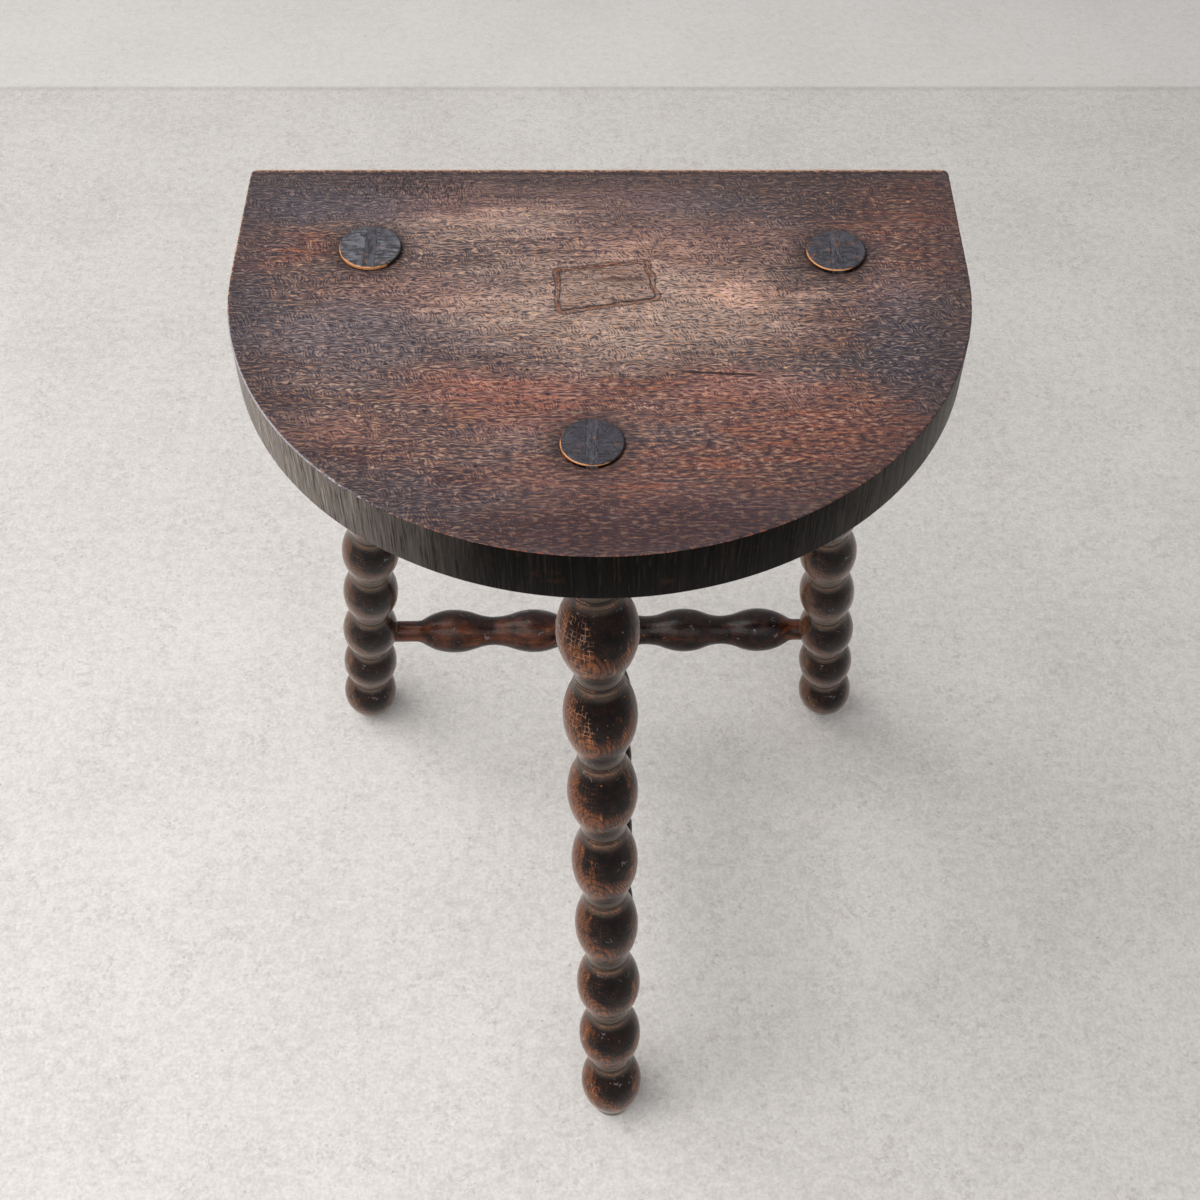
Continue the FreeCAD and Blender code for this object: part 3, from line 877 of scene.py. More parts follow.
@dataclass(frozen=True)
class TurnedWoodFinish(Finish):
    """Dark stain over turned wood, rubbed through to amber on the sides and low on each swell, lighter on one
    side as painted light and darker on another as painted shade.

    A length above nothing means a stretcher with bare pegs, whose swells are long and soft.
    """

    pith: tuple[float, float]
    rubbed_and_lit_side: Triple
    stained_and_shaded_side: Triple
    length: float = 0.0
    lean: float = -14.0
    low_share: float = 0.62
    side_share: float = 1.05
    dark_share: float = 0.95
    dust_share: float = 0.6
    crackle_from: float = -1.0
    gloss: float = 0.06
    coat: float = 0.6
    bloom: float = 0.34
    pore_share: float = 0.75
    softness: float = 0.0
    black: Colour = stain(9, 5, 5)
    umber: Colour = stain(40, 22, 16)
    amber: Colour = stain(124, 70, 38)
    flame: Colour = stain(190, 114, 62)
    dust_and_sheen: Colour = stain(134, 118, 104)

    def crackle(self, sheet: NodeSheet, spot: Level) -> Level:
        """Fine crossed lines in the old finish, round the turning and along it."""
        x, y, z = sheet.vector("ADD", spot, sheet.push(spot, 0.22, (2.4, 2.4, 2.4))).parts()
        around = sheet.math("ARCTAN2", x, y * -1.0) * 15.0
        lines: Value = 0.0
        for axis, gap in ((around, 1.9), (z, 2.3)):
            away = abs(sheet.math("FRACT", axis / gap) - 0.5)
            lines = sheet.math("MAXIMUM", lines, away.fade(0.1, 0.02))
        return lines * sheet.cloud(spot, 0.3, 3.0).fade(0.44, 0.58)

    def cover(self, sheet: NodeSheet) -> None:
        """Lay the stain, the rubbed places with painted light and shade, the crackle, the dust with a painted
        sheen and the small marks.
        """
        spot = sheet.in_mm(sheet.stored("lathe", "Vector"))
        phase = sheet.stored("swell", "Fac")
        facing = sheet.facing()
        depth = abs(phase)
        along = spot.parts()[2]
        cloud = sheet.cloud(spot, 0.075, 3.0, 0.6)
        blotch = sheet.cloud(spot, 0.2, 4.0, 0.65, shift=(40.0, 10.0, 5.0))
        streaks = sheet.cloud(spot, (0.3, 0.3, 0.055), 4.0, 0.6, shift=(3.0, 8.0, 1.0))
        is_stretcher = self.length > 0.0

        # Growth rings that each swell cuts into closed loops
        bent = sheet.mapped(spot, turn=(self.lean, 4.0, 0.0), shift=(-self.pith[0], -self.pith[1], 0.0))
        bent = sheet.vector("ADD", bent, sheet.push(spot, (0.06, 0.06, 0.04), (5.0, 5.0, 0.0)))
        ring_dark = sheet.rings(bent, 1.15, 0.9, 0.6).fade(0.5, 0.1)

        # Where hands and feet have rubbed the stain away; the rubbed side is also lighter as painted light,
        # and the stained side darker as painted shade
        uneven = phase + sheet.cloud(spot, 0.12, 3.0).span(-0.6, 0.6)
        chance = sheet.cloud(spot, (0.03, 0.03, 0.045), 1.0, shift=(5.0, 9.0, 60.0))
        behind = (1.0 - facing.dot((0.0, -1.0, 0.0)).fade(0.0, 0.6)) * chance.fade(0.6, 0.38)
        low = uneven.fade(0.62, 0.1) * phase.fade(-0.68, -0.28) * self.low_share * behind.span(1.0, 0.1)
        front = facing.dot((0.0, -0.9, 0.4)).fade(0.55, 0.85)
        far_side = facing.dot((0.97, 0.0, 0.0)).fade(0.45, 0.9)
        cap = phase.fade(0.68, 0.88) * front * self.dust_share * 1.3 + far_side * self.dust_share * 0.6
        side = facing.dot(self.rubbed_and_lit_side).fade(0.1, 0.85)
        stained_and_shaded = facing.dot(self.stained_and_shaded_side).fade(0.4, 0.85)
        if not is_stretcher:
            side = side * depth.fade(0.95, 0.6)
            stained_and_shaded = stained_and_shaded * phase.fade(-0.1, 0.3) * phase.fade(0.92, 0.75)
        rub = low + side * self.side_share + cap - stained_and_shaded * self.dark_share
        rub = rub - phase.fade(-0.5, -0.8) * self.dust_share * 1.2
        # Stretchers are painted darker toward +X, a painted shade for the right side, which gets less light
        if is_stretcher:
            rub = rub - sheet.place().parts()[0].fade(0.0, 0.05) * 0.35
        drawn = streaks.span(-1.0, 1.0) * stained_and_shaded.span(0.6, 1.3) * (1.0 - 0.6 * self.softness)
        rub = rub + cloud.span(-1.0, 0.9) + drawn
        bare = rub.fade(0.1 - 0.15 * self.softness, 0.95 + 0.15 * self.softness)
        paint = Paint(sheet, blotch.fade(0.36, 0.68), self.black, self.umber)
        paint.lay(rub.fade(0.0, 0.55) * 0.75, self.umber)
        paint.lay(bare * 0.85, self.amber)
        paint.lay(streaks.fade(0.55, 0.7) * bare * (0.6 - 0.3 * self.softness), self.flame)
        ring_share = ring_dark * bare.span(0.4, 0.85) * side.span(1.0, 0.6) * (1.0 - 0.55 * self.softness)
        paint.lay(ring_share, self.black)
        pores = sheet.cloud(spot, (0.95, 0.95, 0.12), 3.0)
        paint.lay(pores.fade(0.5, 0.62) * self.pore_share, self.black)

        if self.crackle_from >= 0.0:
            start = self.crackle_from / MM
            high = along.fade(start, start + 30.0)
            edge = facing.dot((-0.9, -0.43, 0.0)) + blotch.span(-0.2, 0.35)
            here = edge.fade(0.55, 0.75) * phase.fade(-0.7, -0.35) * phase.fade(0.85, 0.5)
            here = here * high.span(0.15, 0.9)
            paint.lay(here * 0.15, stain(58, 34, 30))
            paint.lay(self.crackle(sheet, spot) * here * 0.7, stain(200, 146, 114))

        # Dust and old wax in the necks, partly a painted sheen where the necks catch a reflection, and the
        # fine lines that the turner cut there
        neck = depth.fade(0.72, 0.95) * blotch.span(0.25, 1.0)
        paint.lay(neck * self.dust_share, self.dust_and_sheen)
        turned_lines = sheet.math("SINE", phase * 60.0).fade(0.3, 0.95) * depth.fade(0.55, 0.85)
        turned_lines = turned_lines * blotch.fade(0.36, 0.56) * self.dust_share * 0.7
        paint.lay(turned_lines, self.black)
        paint.lay(abs(depth - 0.965).fade(0.03, 0.01) * self.dust_share, self.black)

        # Orange flecks and a few pale scratches, and a stretcher's bare pegs
        paint.lay(sheet.specks(spot, 0.3, (0.14, 0.04), (0.78, 0.84)) * 0.7, stain(200, 130, 76))
        bends = sheet.cloud(spot, (0.2, 0.2, 0.12), 1.0, shift=(9.0, 2.0, 0.0))
        scratch = sheet.contour_lines(bends, 5.0, 0.07) * sheet.cloud(spot, 0.17, 1.0).fade(0.62, 0.68)
        paint.lay(scratch * 0.4, stain(150, 146, 150))
        if is_stretcher:
            near_end = along.least(self.length / MM - along)
            paint.lay(near_end.fade(30.0, 24.0) * streaks.fade(0.36, 0.6) * 0.6, self.amber)

        normal = sheet.bump(pores * 0.8 - ring_dark * 0.35 - turned_lines * 0.6, 0.2 * MM, 0.6)
        normal = sheet.bump(blotch, 0.7 * MM, 0.7, normal)
        paint.close(cloud.span(0.2, 0.36) + neck * 0.12, normal, self.gloss, self.coat, self.bloom)


@dataclass(frozen=True)
class EndGrainFinish(Finish):
    """Charcoal-grey end grain of a stud or wedge, with straight drying cracks and old wax."""

    base: Colour
    dark: Colour = stain(15, 14, 17)
    pale: Colour = stain(138, 134, 140)
    rust: Colour = stain(170, 104, 66)
    along: tuple[float, float] = (0.2, 0.95)

    def cover(self, sheet: NodeSheet) -> None:
        """Lay the grey, the cracks with their pale lips, and a little rust."""
        place = sheet.in_mm(sheet.place())
        mottle = sheet.cloud(place, 0.3, 4.0, 0.65)
        cracks = sheet.cloud(place, (*self.along, 0.2), 3.0, 0.55)
        dark_lines = cracks.fade(0.54, 0.58)
        pale_lines = cracks.fade(0.5, 0.53) * 0.8
        paint = Paint(sheet, mottle.fade(0.3, 0.7), stain(44, 41, 48), self.base)
        paint.lay(pale_lines * 0.3, self.pale)
        paint.lay(dark_lines * 0.85, self.dark)
        warm = sheet.cloud(place, 0.22, 3.0, 0.6, shift=(7.0, 3.0, 0.0)).fade(0.6, 0.7)
        paint.lay(warm * 0.3, self.rust)
        normal = sheet.bump(pale_lines - dark_lines * 1.5, 0.3 * MM, 0.8)
        paint.close(mottle.span(0.4, 0.6), sheet.bump(mottle, 0.8 * MM, 0.6, normal), gloss=0.4)


@dataclass(frozen=True)
class StudEdgeFinish(Finish):
    """The stud's rounded edge: bare tan wood on the side that gets knocked, black elsewhere."""

    bare_side: Triple
    bare: Colour = stain(198, 138, 88)
    black: Colour = stain(20, 17, 18)

    def cover(self, sheet: NodeSheet) -> None:
        """Lay the black and the chipped bare side."""
        place = sheet.in_mm(sheet.place())
        chips = sheet.cloud(place, 0.35, 3.0, 0.6).span(-0.5, 0.5)
        share = (sheet.facing().dot(self.bare_side) + chips).fade(0.12, 0.4)
        paint = Paint(sheet, share, self.black, self.bare)
        paint.close(0.42, sheet.bump(sheet.cloud(place, 1.2), 0.2 * MM, 0.6))


@dataclass(frozen=True)
class FloorFinish(Finish):
    """Pale, finely mottled plaster with a faint joint line far behind the stool."""

    joint_line: float
    light: Colour = stain(246, 242, 238)
    shade: Colour = stain(196, 191, 186)

    def cover(self, sheet: NodeSheet) -> None:
        """Lay the mottle, the stains and dots, the joint line and the paler plaster behind it."""
        place = sheet.place()
        broad = sheet.cloud(place, 9.0, 5.0, 0.65)
        fine = sheet.cloud(place, 150.0, 5.0, 0.72)
        grit = sheet.cloud(place, 480.0, 3.0, 0.65)
        share = broad.span(0.0, 0.5) + fine.span(-0.25, 0.75) + grit.span(-0.45, 0.45)
        paint = Paint(sheet, share.fade(-0.1, 1.1), self.shade, self.light)
        paint.lay(fine.fade(0.56, 0.7) * broad.fade(0.42, 0.62) * 0.3, stain(186, 180, 174))
        worm = sheet.contour_lines(sheet.cloud(place, 130.0, 3.0, 0.6), 4.0, 0.15)
        paint.lay(worm * sheet.cloud(place, 40.0, 3.0).fade(0.5, 0.6) * 0.35, stain(178, 171, 164))
        paint.lay(sheet.specks(place, 130.0, (0.16, 0.05), (0.78, 0.84)) * 0.4, stain(150, 142, 134))
        y = place.parts()[1]
        paint.lay(abs(y - self.joint_line).fade(0.006, 0.001) * 0.28, stain(178, 172, 166))
        paint.lay(y.fade(self.joint_line, self.joint_line + 0.004) * 0.4, stain(246, 244, 240))
        paint.close(0.75, sheet.bump(fine + grit * 0.4, 0.9 * MM, 0.5), gloss=0.25)


@dataclass(frozen=True)
class Ring:
    """One ring of a turned profile: how far along the axis it lies, and its radius."""

    along: float
    radius: float


@dataclass
class TurnedBlank:
    """A turned piece as it leaves the lathe, standing on its own axis.

    The swells are given by their middles and radii, and the necks lie halfway between them.
    """

    name: str
    crowns: list[Ring]
    start: Ring
    end: Ring
    neck_radius: float
    neck_flat: float
    cove_share: float
    end_cove_share: float
    run_in: float
    run_out: float
    run_out_radius: float
    sides: int = 64
    steps: int = 7
    scribe_depth: float = 0.15 * MM
    scribe_width: float = 0.35 * MM
    phase_gap: float = 0.01 * MM
    run_out_phase: float = 0.6

    def necks(self) -> list[float]:
        """Where the middle of each neck lies, with the two ends of the turning."""
        between = [(low.along + high.along) / 2 for low, high in zip(self.crowns, self.crowns[1:])]
        return [self.start.along] + between + [self.end.along]

    def swell(self, crown: Ring, neck: Ring, cove_share: float) -> list[Ring]:
        """Rings from a crown to its neck on two tangent arcs, both lengthwise where they start.

        Args:
            crown: The widest ring.
            neck: The narrow ring beside it.
            cove_share: The hollow arc's share of the two radii.

        Returns:
            The rings after the crown, the neck last.
        """
        run = abs(neck.along - crown.along)
        side = math.copysign(1.0, neck.along - crown.along)
        turn = 2 * math.atan2(crown.radius - neck.radius, run)
        radii = run / math.sin(turn)
        crown_radius = radii * (1 - cove_share)
        cove_radius = radii * cove_share
        rings = []
        for step in range(1, self.steps + 1):
            away = run * step / self.steps
            if away <= crown_radius * math.sin(turn):
                bend = math.asin(away / crown_radius)
                radius = crown.radius - crown_radius * (1 - math.cos(bend))
            else:
                bend = math.asin((run - away) / cove_radius)
                radius = neck.radius + cove_radius * (1 - math.cos(bend))
            rings.append(Ring(crown.along + side * away, radius))
        return rings

    def scribed(self, low: float, high: float) -> list[Ring]:
        """Two fine lines scribed on the flat of a neck."""
        width = self.scribe_width
        groove = self.neck_radius - self.scribe_depth
        return [
            Ring(low + width, groove),
            Ring(low + 2 * width, self.neck_radius),
            Ring(high - 2 * width, self.neck_radius),
            Ring(high - width, groove),
        ]

    def profile(self) -> list[Ring]:
        """All the rings of the piece, from its low end to its high end."""
        necks = self.necks()
        last = len(self.crowns) - 1
        half = self.neck_flat / 2
        rings = [Ring(-self.run_in, self.start.radius)]
        for index, crown in enumerate(self.crowns):
            low = self.start if index == 0 else Ring(necks[index] + half, self.neck_radius)
            high = self.end if index == last else Ring(necks[index + 1] - half, self.neck_radius)
            low_share = self.end_cove_share if index == 0 else self.cove_share
            high_share = self.end_cove_share if index == last else self.cove_share
            rings += reversed(self.swell(crown, low, low_share))
            rings.append(crown)
            rings += self.swell(crown, high, high_share)
            if index < last and self.neck_flat > 0.0:
                rings += self.scribed(high.along, high.along + self.neck_flat)
        rings.append(Ring(self.end.along + MM, self.run_out_radius))
        rings.append(Ring(self.end.along + self.run_out, self.run_out_radius))
        return rings

    def turn(self) -> bpy.types.Object:
        """Draw the piece out from a disc, ring by ring, and store its lathe places.

        Returns:
            The blank, standing on the origin's Z axis.
        """
        rings = self.profile()
        blank = fresh(
            bpy.ops.mesh.primitive_circle_add, vertices=self.sides, radius=rings[0].radius,
            fill_type="NGON", location=(0.0, 0.0, rings[0].along),
        )
        blank.name = self.name
        settle(blank)
        with edit_mode(blank, whole=True):
            for before, here in zip(rings, rings[1:]):
                draw_out(0.0, 0.0, here.along - before.along)
                ratio = here.radius / before.radius
                bpy.ops.transform.resize(value=(ratio, ratio, 1.0), center_override=(0.0, 0.0, here.along))
            face_outward()
        self.store_places(blank)
        return blank

    def store_places(self, blank: bpy.types.Object) -> None:
        """Store each point's place on the lathe, and where it lies on its swell, from -1 to 1."""
        mesh = blank.data
        places = np.zeros(len(mesh.vertices) * 3, np.float32)
        mesh.vertices.foreach_get("co", places)
        mesh.attributes.new("lathe", "FLOAT_VECTOR", "POINT").data.foreach_set("vector", places)
        marks, phases = [], []
        for crown, low, high in zip(self.crowns, self.necks(), self.necks()[1:]):
            marks += [low + self.phase_gap, crown.along, high - self.phase_gap]
            phases += [-1.0, 0.0, 1.0]
        marks.append(self.end.along + 2 * MM)
        phases.append(self.run_out_phase)
        swell = np.interp(places.reshape(-1, 3)[:, 2], marks, phases).astype(np.float32)
        mesh.attributes.new("swell", "FLOAT", "POINT").data.foreach_set("value", swell)


@dataclass
class SeatBoard:
    """The half-round seat board with its worn edges, its three holes and its scribed mark."""

    corner_radius: float = 3.0 * MM
    edge_radius: float = 0.9 * MM
    top_insets: tuple[float, float] = (0.8 * MM, 1.6 * MM)
    round_sides: int = 720
    side_cuts: int = 22
    back_cuts: int = 99
    run_reach: float = 30.0 * MM
    hole_radius: float = 11.35 * MM
    hole_edge_width: float = 1.1 * MM
    hole_edge_depth: float = 0.6 * MM
    drill_length: float = 90.0 * MM
    drill_sides: int = 96
    mark_size: tuple[float, float] = (35.0 * MM, 22.0 * MM)
    mark_corner: float = 2.0 * MM
    mark_slip: tuple[float, float] = (-2.9 * MM, -1.4 * MM)
    mark_groove: float = 0.9 * MM
    mark_depth: float = 0.25 * MM
    mark_back_inset: float = 69.8 * MM
    mark_side_offset: float = 2.6 * MM
    mark_turn: float = 9.5
    worn_reach: float = 1.2 * MM
    hair: float = 0.1 * MM
    low: Vector = field(default_factory=lambda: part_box("seat")[0])
    high: Vector = field(default_factory=lambda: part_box("seat")[1])

    @property
    def radius(self) -> float:
        """The radius of the round front, which is half the seat's width."""
        return (self.high.x - self.low.x) / 2

    @property
    def middle(self) -> Vector:
        """The middle of the round, on the seat top."""
        return Vector((self.low.x + self.radius, self.low.y + self.radius, self.high.z))

    def half_round(self) -> bpy.types.Object:
        """Saw the half-round board from a disc, with plain edges and two rounded back corners."""
        middle = self.middle
        thickness = self.high.z - self.low.z
        board = fresh(
            bpy.ops.mesh.primitive_cylinder_add, vertices=self.round_sides, radius=self.radius,
            depth=thickness, end_fill_type="NGON",
            location=(middle.x, middle.y, self.high.z - thickness / 2),
        )
        board.name = "seat_board"
        settle(board)
        with edit_mode(board, whole=True):
            bpy.ops.mesh.bisect(plane_co=middle, plane_no=(0.0, 1.0, 0.0), use_fill=True, clear_outer=True)
            draw_out(0.0, self.high.y - middle.y, 0.0)
        for side in (1.0, -1.0):
            pick(board, Pick.FACES, lambda face: face.normal.z * side > 0.9)
            with edit_mode(board):
                bpy.ops.mesh.dissolve_faces()

        def back_corner(ends: Sequence[Vector]) -> bool:
            at_back = all(abs(end.y - self.high.y) < self.hair for end in ends)
            return at_back and abs(ends[0].z - ends[1].z) > thickness / 2

        pick(board, Pick.EDGES, back_corner)
        with edit_mode(board):
            bpy.ops.mesh.bevel(offset=self.corner_radius, segments=8, affect="EDGES")
        return board

    def board(self) -> bpy.types.Object:
        """Make the half-round board with its straight edges divided and all its edges softened."""
        board = self.half_round()

        def straight_run(ends: Sequence[Vector], near: Vector) -> bool:
            half_way = (ends[0] + ends[1]) / 2
            is_long = (ends[0] - ends[1]).length > self.run_reach
            is_level = abs(half_way.z - near.z) < self.hair
            return is_long and is_level and (half_way - near).length < self.run_reach

        half_back = (self.high.y + self.middle.y) / 2
        for level in (self.high.z, self.low.z):
            for x, y, cuts in (
                (self.middle.x, self.high.y, self.back_cuts),
                (self.low.x, half_back, self.side_cuts),
                (self.high.x, half_back, self.side_cuts),
            ):
                spot = Vector((x, y, level))
                pick(board, Pick.EDGES, lambda ends: straight_run(ends, spot))
                with edit_mode(board):
                    bpy.ops.mesh.subdivide(number_cuts=cuts)
                    bpy.ops.mesh.subdivide(number_cuts=2)
            pick(board, Pick.EDGES, lambda ends: all(abs(end.z - level) < self.hair for end in ends))
            with edit_mode(board):
                bpy.ops.mesh.bevel(offset=self.edge_radius, segments=4, affect="EDGES")
        pick(board, Pick.FACES, lambda face: face.normal.z > 0.99 and len(face.vertices) > 50)
        with edit_mode(board):
            for inset in self.top_insets:
                bpy.ops.mesh.inset(thickness=inset)
        return board

    def nibble(self, board: bpy.types.Object) -> None:
        """Nibble the upper arris, as years of knocks do."""
        group = board.vertex_groups.new(name="arris")
        for point in board.data.vertices:
            ahead = min(point.co.y - self.middle.y, 0.0)
            out = math.hypot(point.co.x - self.middle.x, ahead)
            inset = min(self.radius - out, self.high.y - point.co.y)
            if self.high.z - point.co.z <= self.worn_reach and inset < self.worn_reach:
                group.add([point.index], 1.0, "REPLACE")
        wear_down(board, 4.0 * MM, 0.22 * MM, "arris")
        wear_down(board, 1.2 * MM, 0.2 * MM, "arris")
        board.vertex_groups.clear()

    def bore(self, board: bpy.types.Object, legs: Sequence["TurnedLeg"]) -> None:
        """Bore a raking hole for each leg, with a worn edge on top."""
        spare = 4 * MM
        height = 2 * self.hole_edge_depth + spare
        low_radius = self.hole_radius - self.hole_edge_width
        for leg in legs:
            drill = fresh(
                bpy.ops.mesh.primitive_cylinder_add, vertices=self.drill_sides, radius=self.hole_radius,
                depth=self.drill_length,
            )
            stand_on(drill, leg.stud, leg.axis, Vector((0.0, 1.0, 0.0)))
            carve(board, drill, Cut.AWAY)
            sink = fresh(
                bpy.ops.mesh.primitive_cone_add, vertices=self.drill_sides, radius1=low_radius, depth=height,
                radius2=low_radius + height * self.hole_edge_width / self.hole_edge_depth,
                location=(leg.stud.x, leg.stud.y, self.high.z + (spare - 2 * self.hole_edge_depth) / 2),
            )
            settle(sink)
            carve(board, sink, Cut.AWAY)

    def mark_place(self) -> Vector:
        """The middle of the scribed mark, on the seat top."""
        x = self.middle.x + self.mark_side_offset
        return Vector((x, self.high.y - self.mark_back_inset, self.high.z))

    def scribe_mark(self, board: bpy.types.Object) -> None:
        """Scribe the outline that a lost label left: a shallow frame with round corners."""
        scriber = fresh(bpy.ops.mesh.primitive_plane_add, size=1.0)
        scriber.scale = (*self.mark_size, 1.0)
        settle(scriber)
        pick(scriber, Pick.POINTS, lambda point: point.co.x < 0.0 and point.co.y < 0.0)
        with edit_mode(scriber):
            bpy.ops.transform.translate(value=(*self.mark_slip, 0.0))
            take_all()
            bpy.ops.mesh.bevel(offset=self.mark_corner, segments=5, affect="VERTICES")
            take_all()
            bpy.ops.mesh.inset(thickness=self.mark_groove)
            bpy.ops.mesh.delete(type="FACE")
            take_all()
            draw_out(0.0, 0.0, 2 * self.mark_depth)
            face_outward()
        place = self.mark_place()
        place.z -= self.mark_depth
        turn = Euler((0.0, 0.0, math.radians(self.mark_turn))).to_matrix().to_4x4()
        scriber.matrix_world = Matrix.Translation(place) @ turn
        settle(scriber)
        carve(board, scriber, Cut.AWAY)

    def dress(self, board: bpy.types.Object, legs: Sequence["TurnedLeg"]) -> None:
        """Give the top, the rim and the underside their own finishes."""
        top = SeatTopFinish(
            name="seat_top_old_stain",
            middle=self.middle,
            radius=self.radius,
            back_edge=self.high.y - self.middle.y,
            studs=tuple(leg.stud - Vector((self.middle.x, self.middle.y, 0.0)) for leg in legs),
            mark_middle=(self.mark_place() - self.middle) / MM,
            mark_half=tuple(size / MM / 2 for size in self.mark_size),
            mark_slip=tuple(slip / MM for slip in self.mark_slip),
            mark_turn=self.mark_turn,
        )
        for finish in (top, SeatRimFinish("seat_rim_black_stain"), PlainWoodFinish("underside_bare_wood")):
            board.data.materials.append(finish.make())
        near_edge = 2 * MM
        for face in board.data.polygons:
            inner = Vector((face.center.x, min(face.center.y, self.middle.y), 0.0))
            out = (inner - Vector((self.middle.x, self.middle.y, 0.0))).length
            at_rim = out > self.radius - near_edge or face.center.y > self.high.y - near_edge
            if face.center.z > self.high.z - 0.75 * self.edge_radius and face.normal.z > 0.25:
                face.material_index = 0
            else:
                face.material_index = 1 if at_rim and face.normal.z > -0.9 else 2

    def build(self, legs: Sequence["TurnedLeg"]) -> bpy.types.Object:
        """Make the finished seat.

        Args:
            legs: The legs whose tenons pass through it.

        Returns:
            The seat board.
        """
        board = self.board()
        self.bore(board, legs)
        self.scribe_mark(board)
        self.nibble(board)
        smooth(board)
        self.dress(board, legs)
        hand_over(board, "seat")
        return board


@dataclass
class LegTurning:
    """Sizes of the turning that all three legs share."""

    bead_dia: float = 31.0 * MM
    neck_dia: float = 20.4 * MM
    neck_flat: float = 2.6 * MM
    cove_share: float = 0.27
    centre_shares: tuple[float, ...] = (0.052, 0.161, 0.269, 0.386, 0.501, 0.614, 0.727, 0.839, 0.950)
    dia_shares: tuple[float, ...] = (1.03, 1.015, 1.01, 0.97, 0.97, 0.985, 1.0, 1.06, 1.0)
    tenon_dia: float = 22.6 * MM
    spare: float = 15.0 * MM
    tenon_length: float = 60.0 * MM

    def bead_radius(self, index: int) -> float:
        """The radius of one bead, counted from the floor."""
        return self.dia_shares[index] * self.bead_dia / 2

    def blank(self, run: float) -> TurnedBlank:
        """The leg's blank for a given run of beads."""
        neck = self.neck_dia / 2
        crowns = [
            Ring(centre * run, self.bead_radius(index)) for index, centre in enumerate(self.centre_shares)
        ]
        return TurnedBlank(
            name="leg_blank",
            crowns=crowns,
            start=Ring(0.0, neck),
            end=Ring(run - self.neck_flat / 2, neck),
            neck_radius=neck,
            neck_flat=self.neck_flat,
            cove_share=self.cove_share,
            end_cove_share=self.cove_share,
            run_in=self.spare,
            run_out=self.tenon_length,
            run_out_radius=self.tenon_dia / 2,
        )


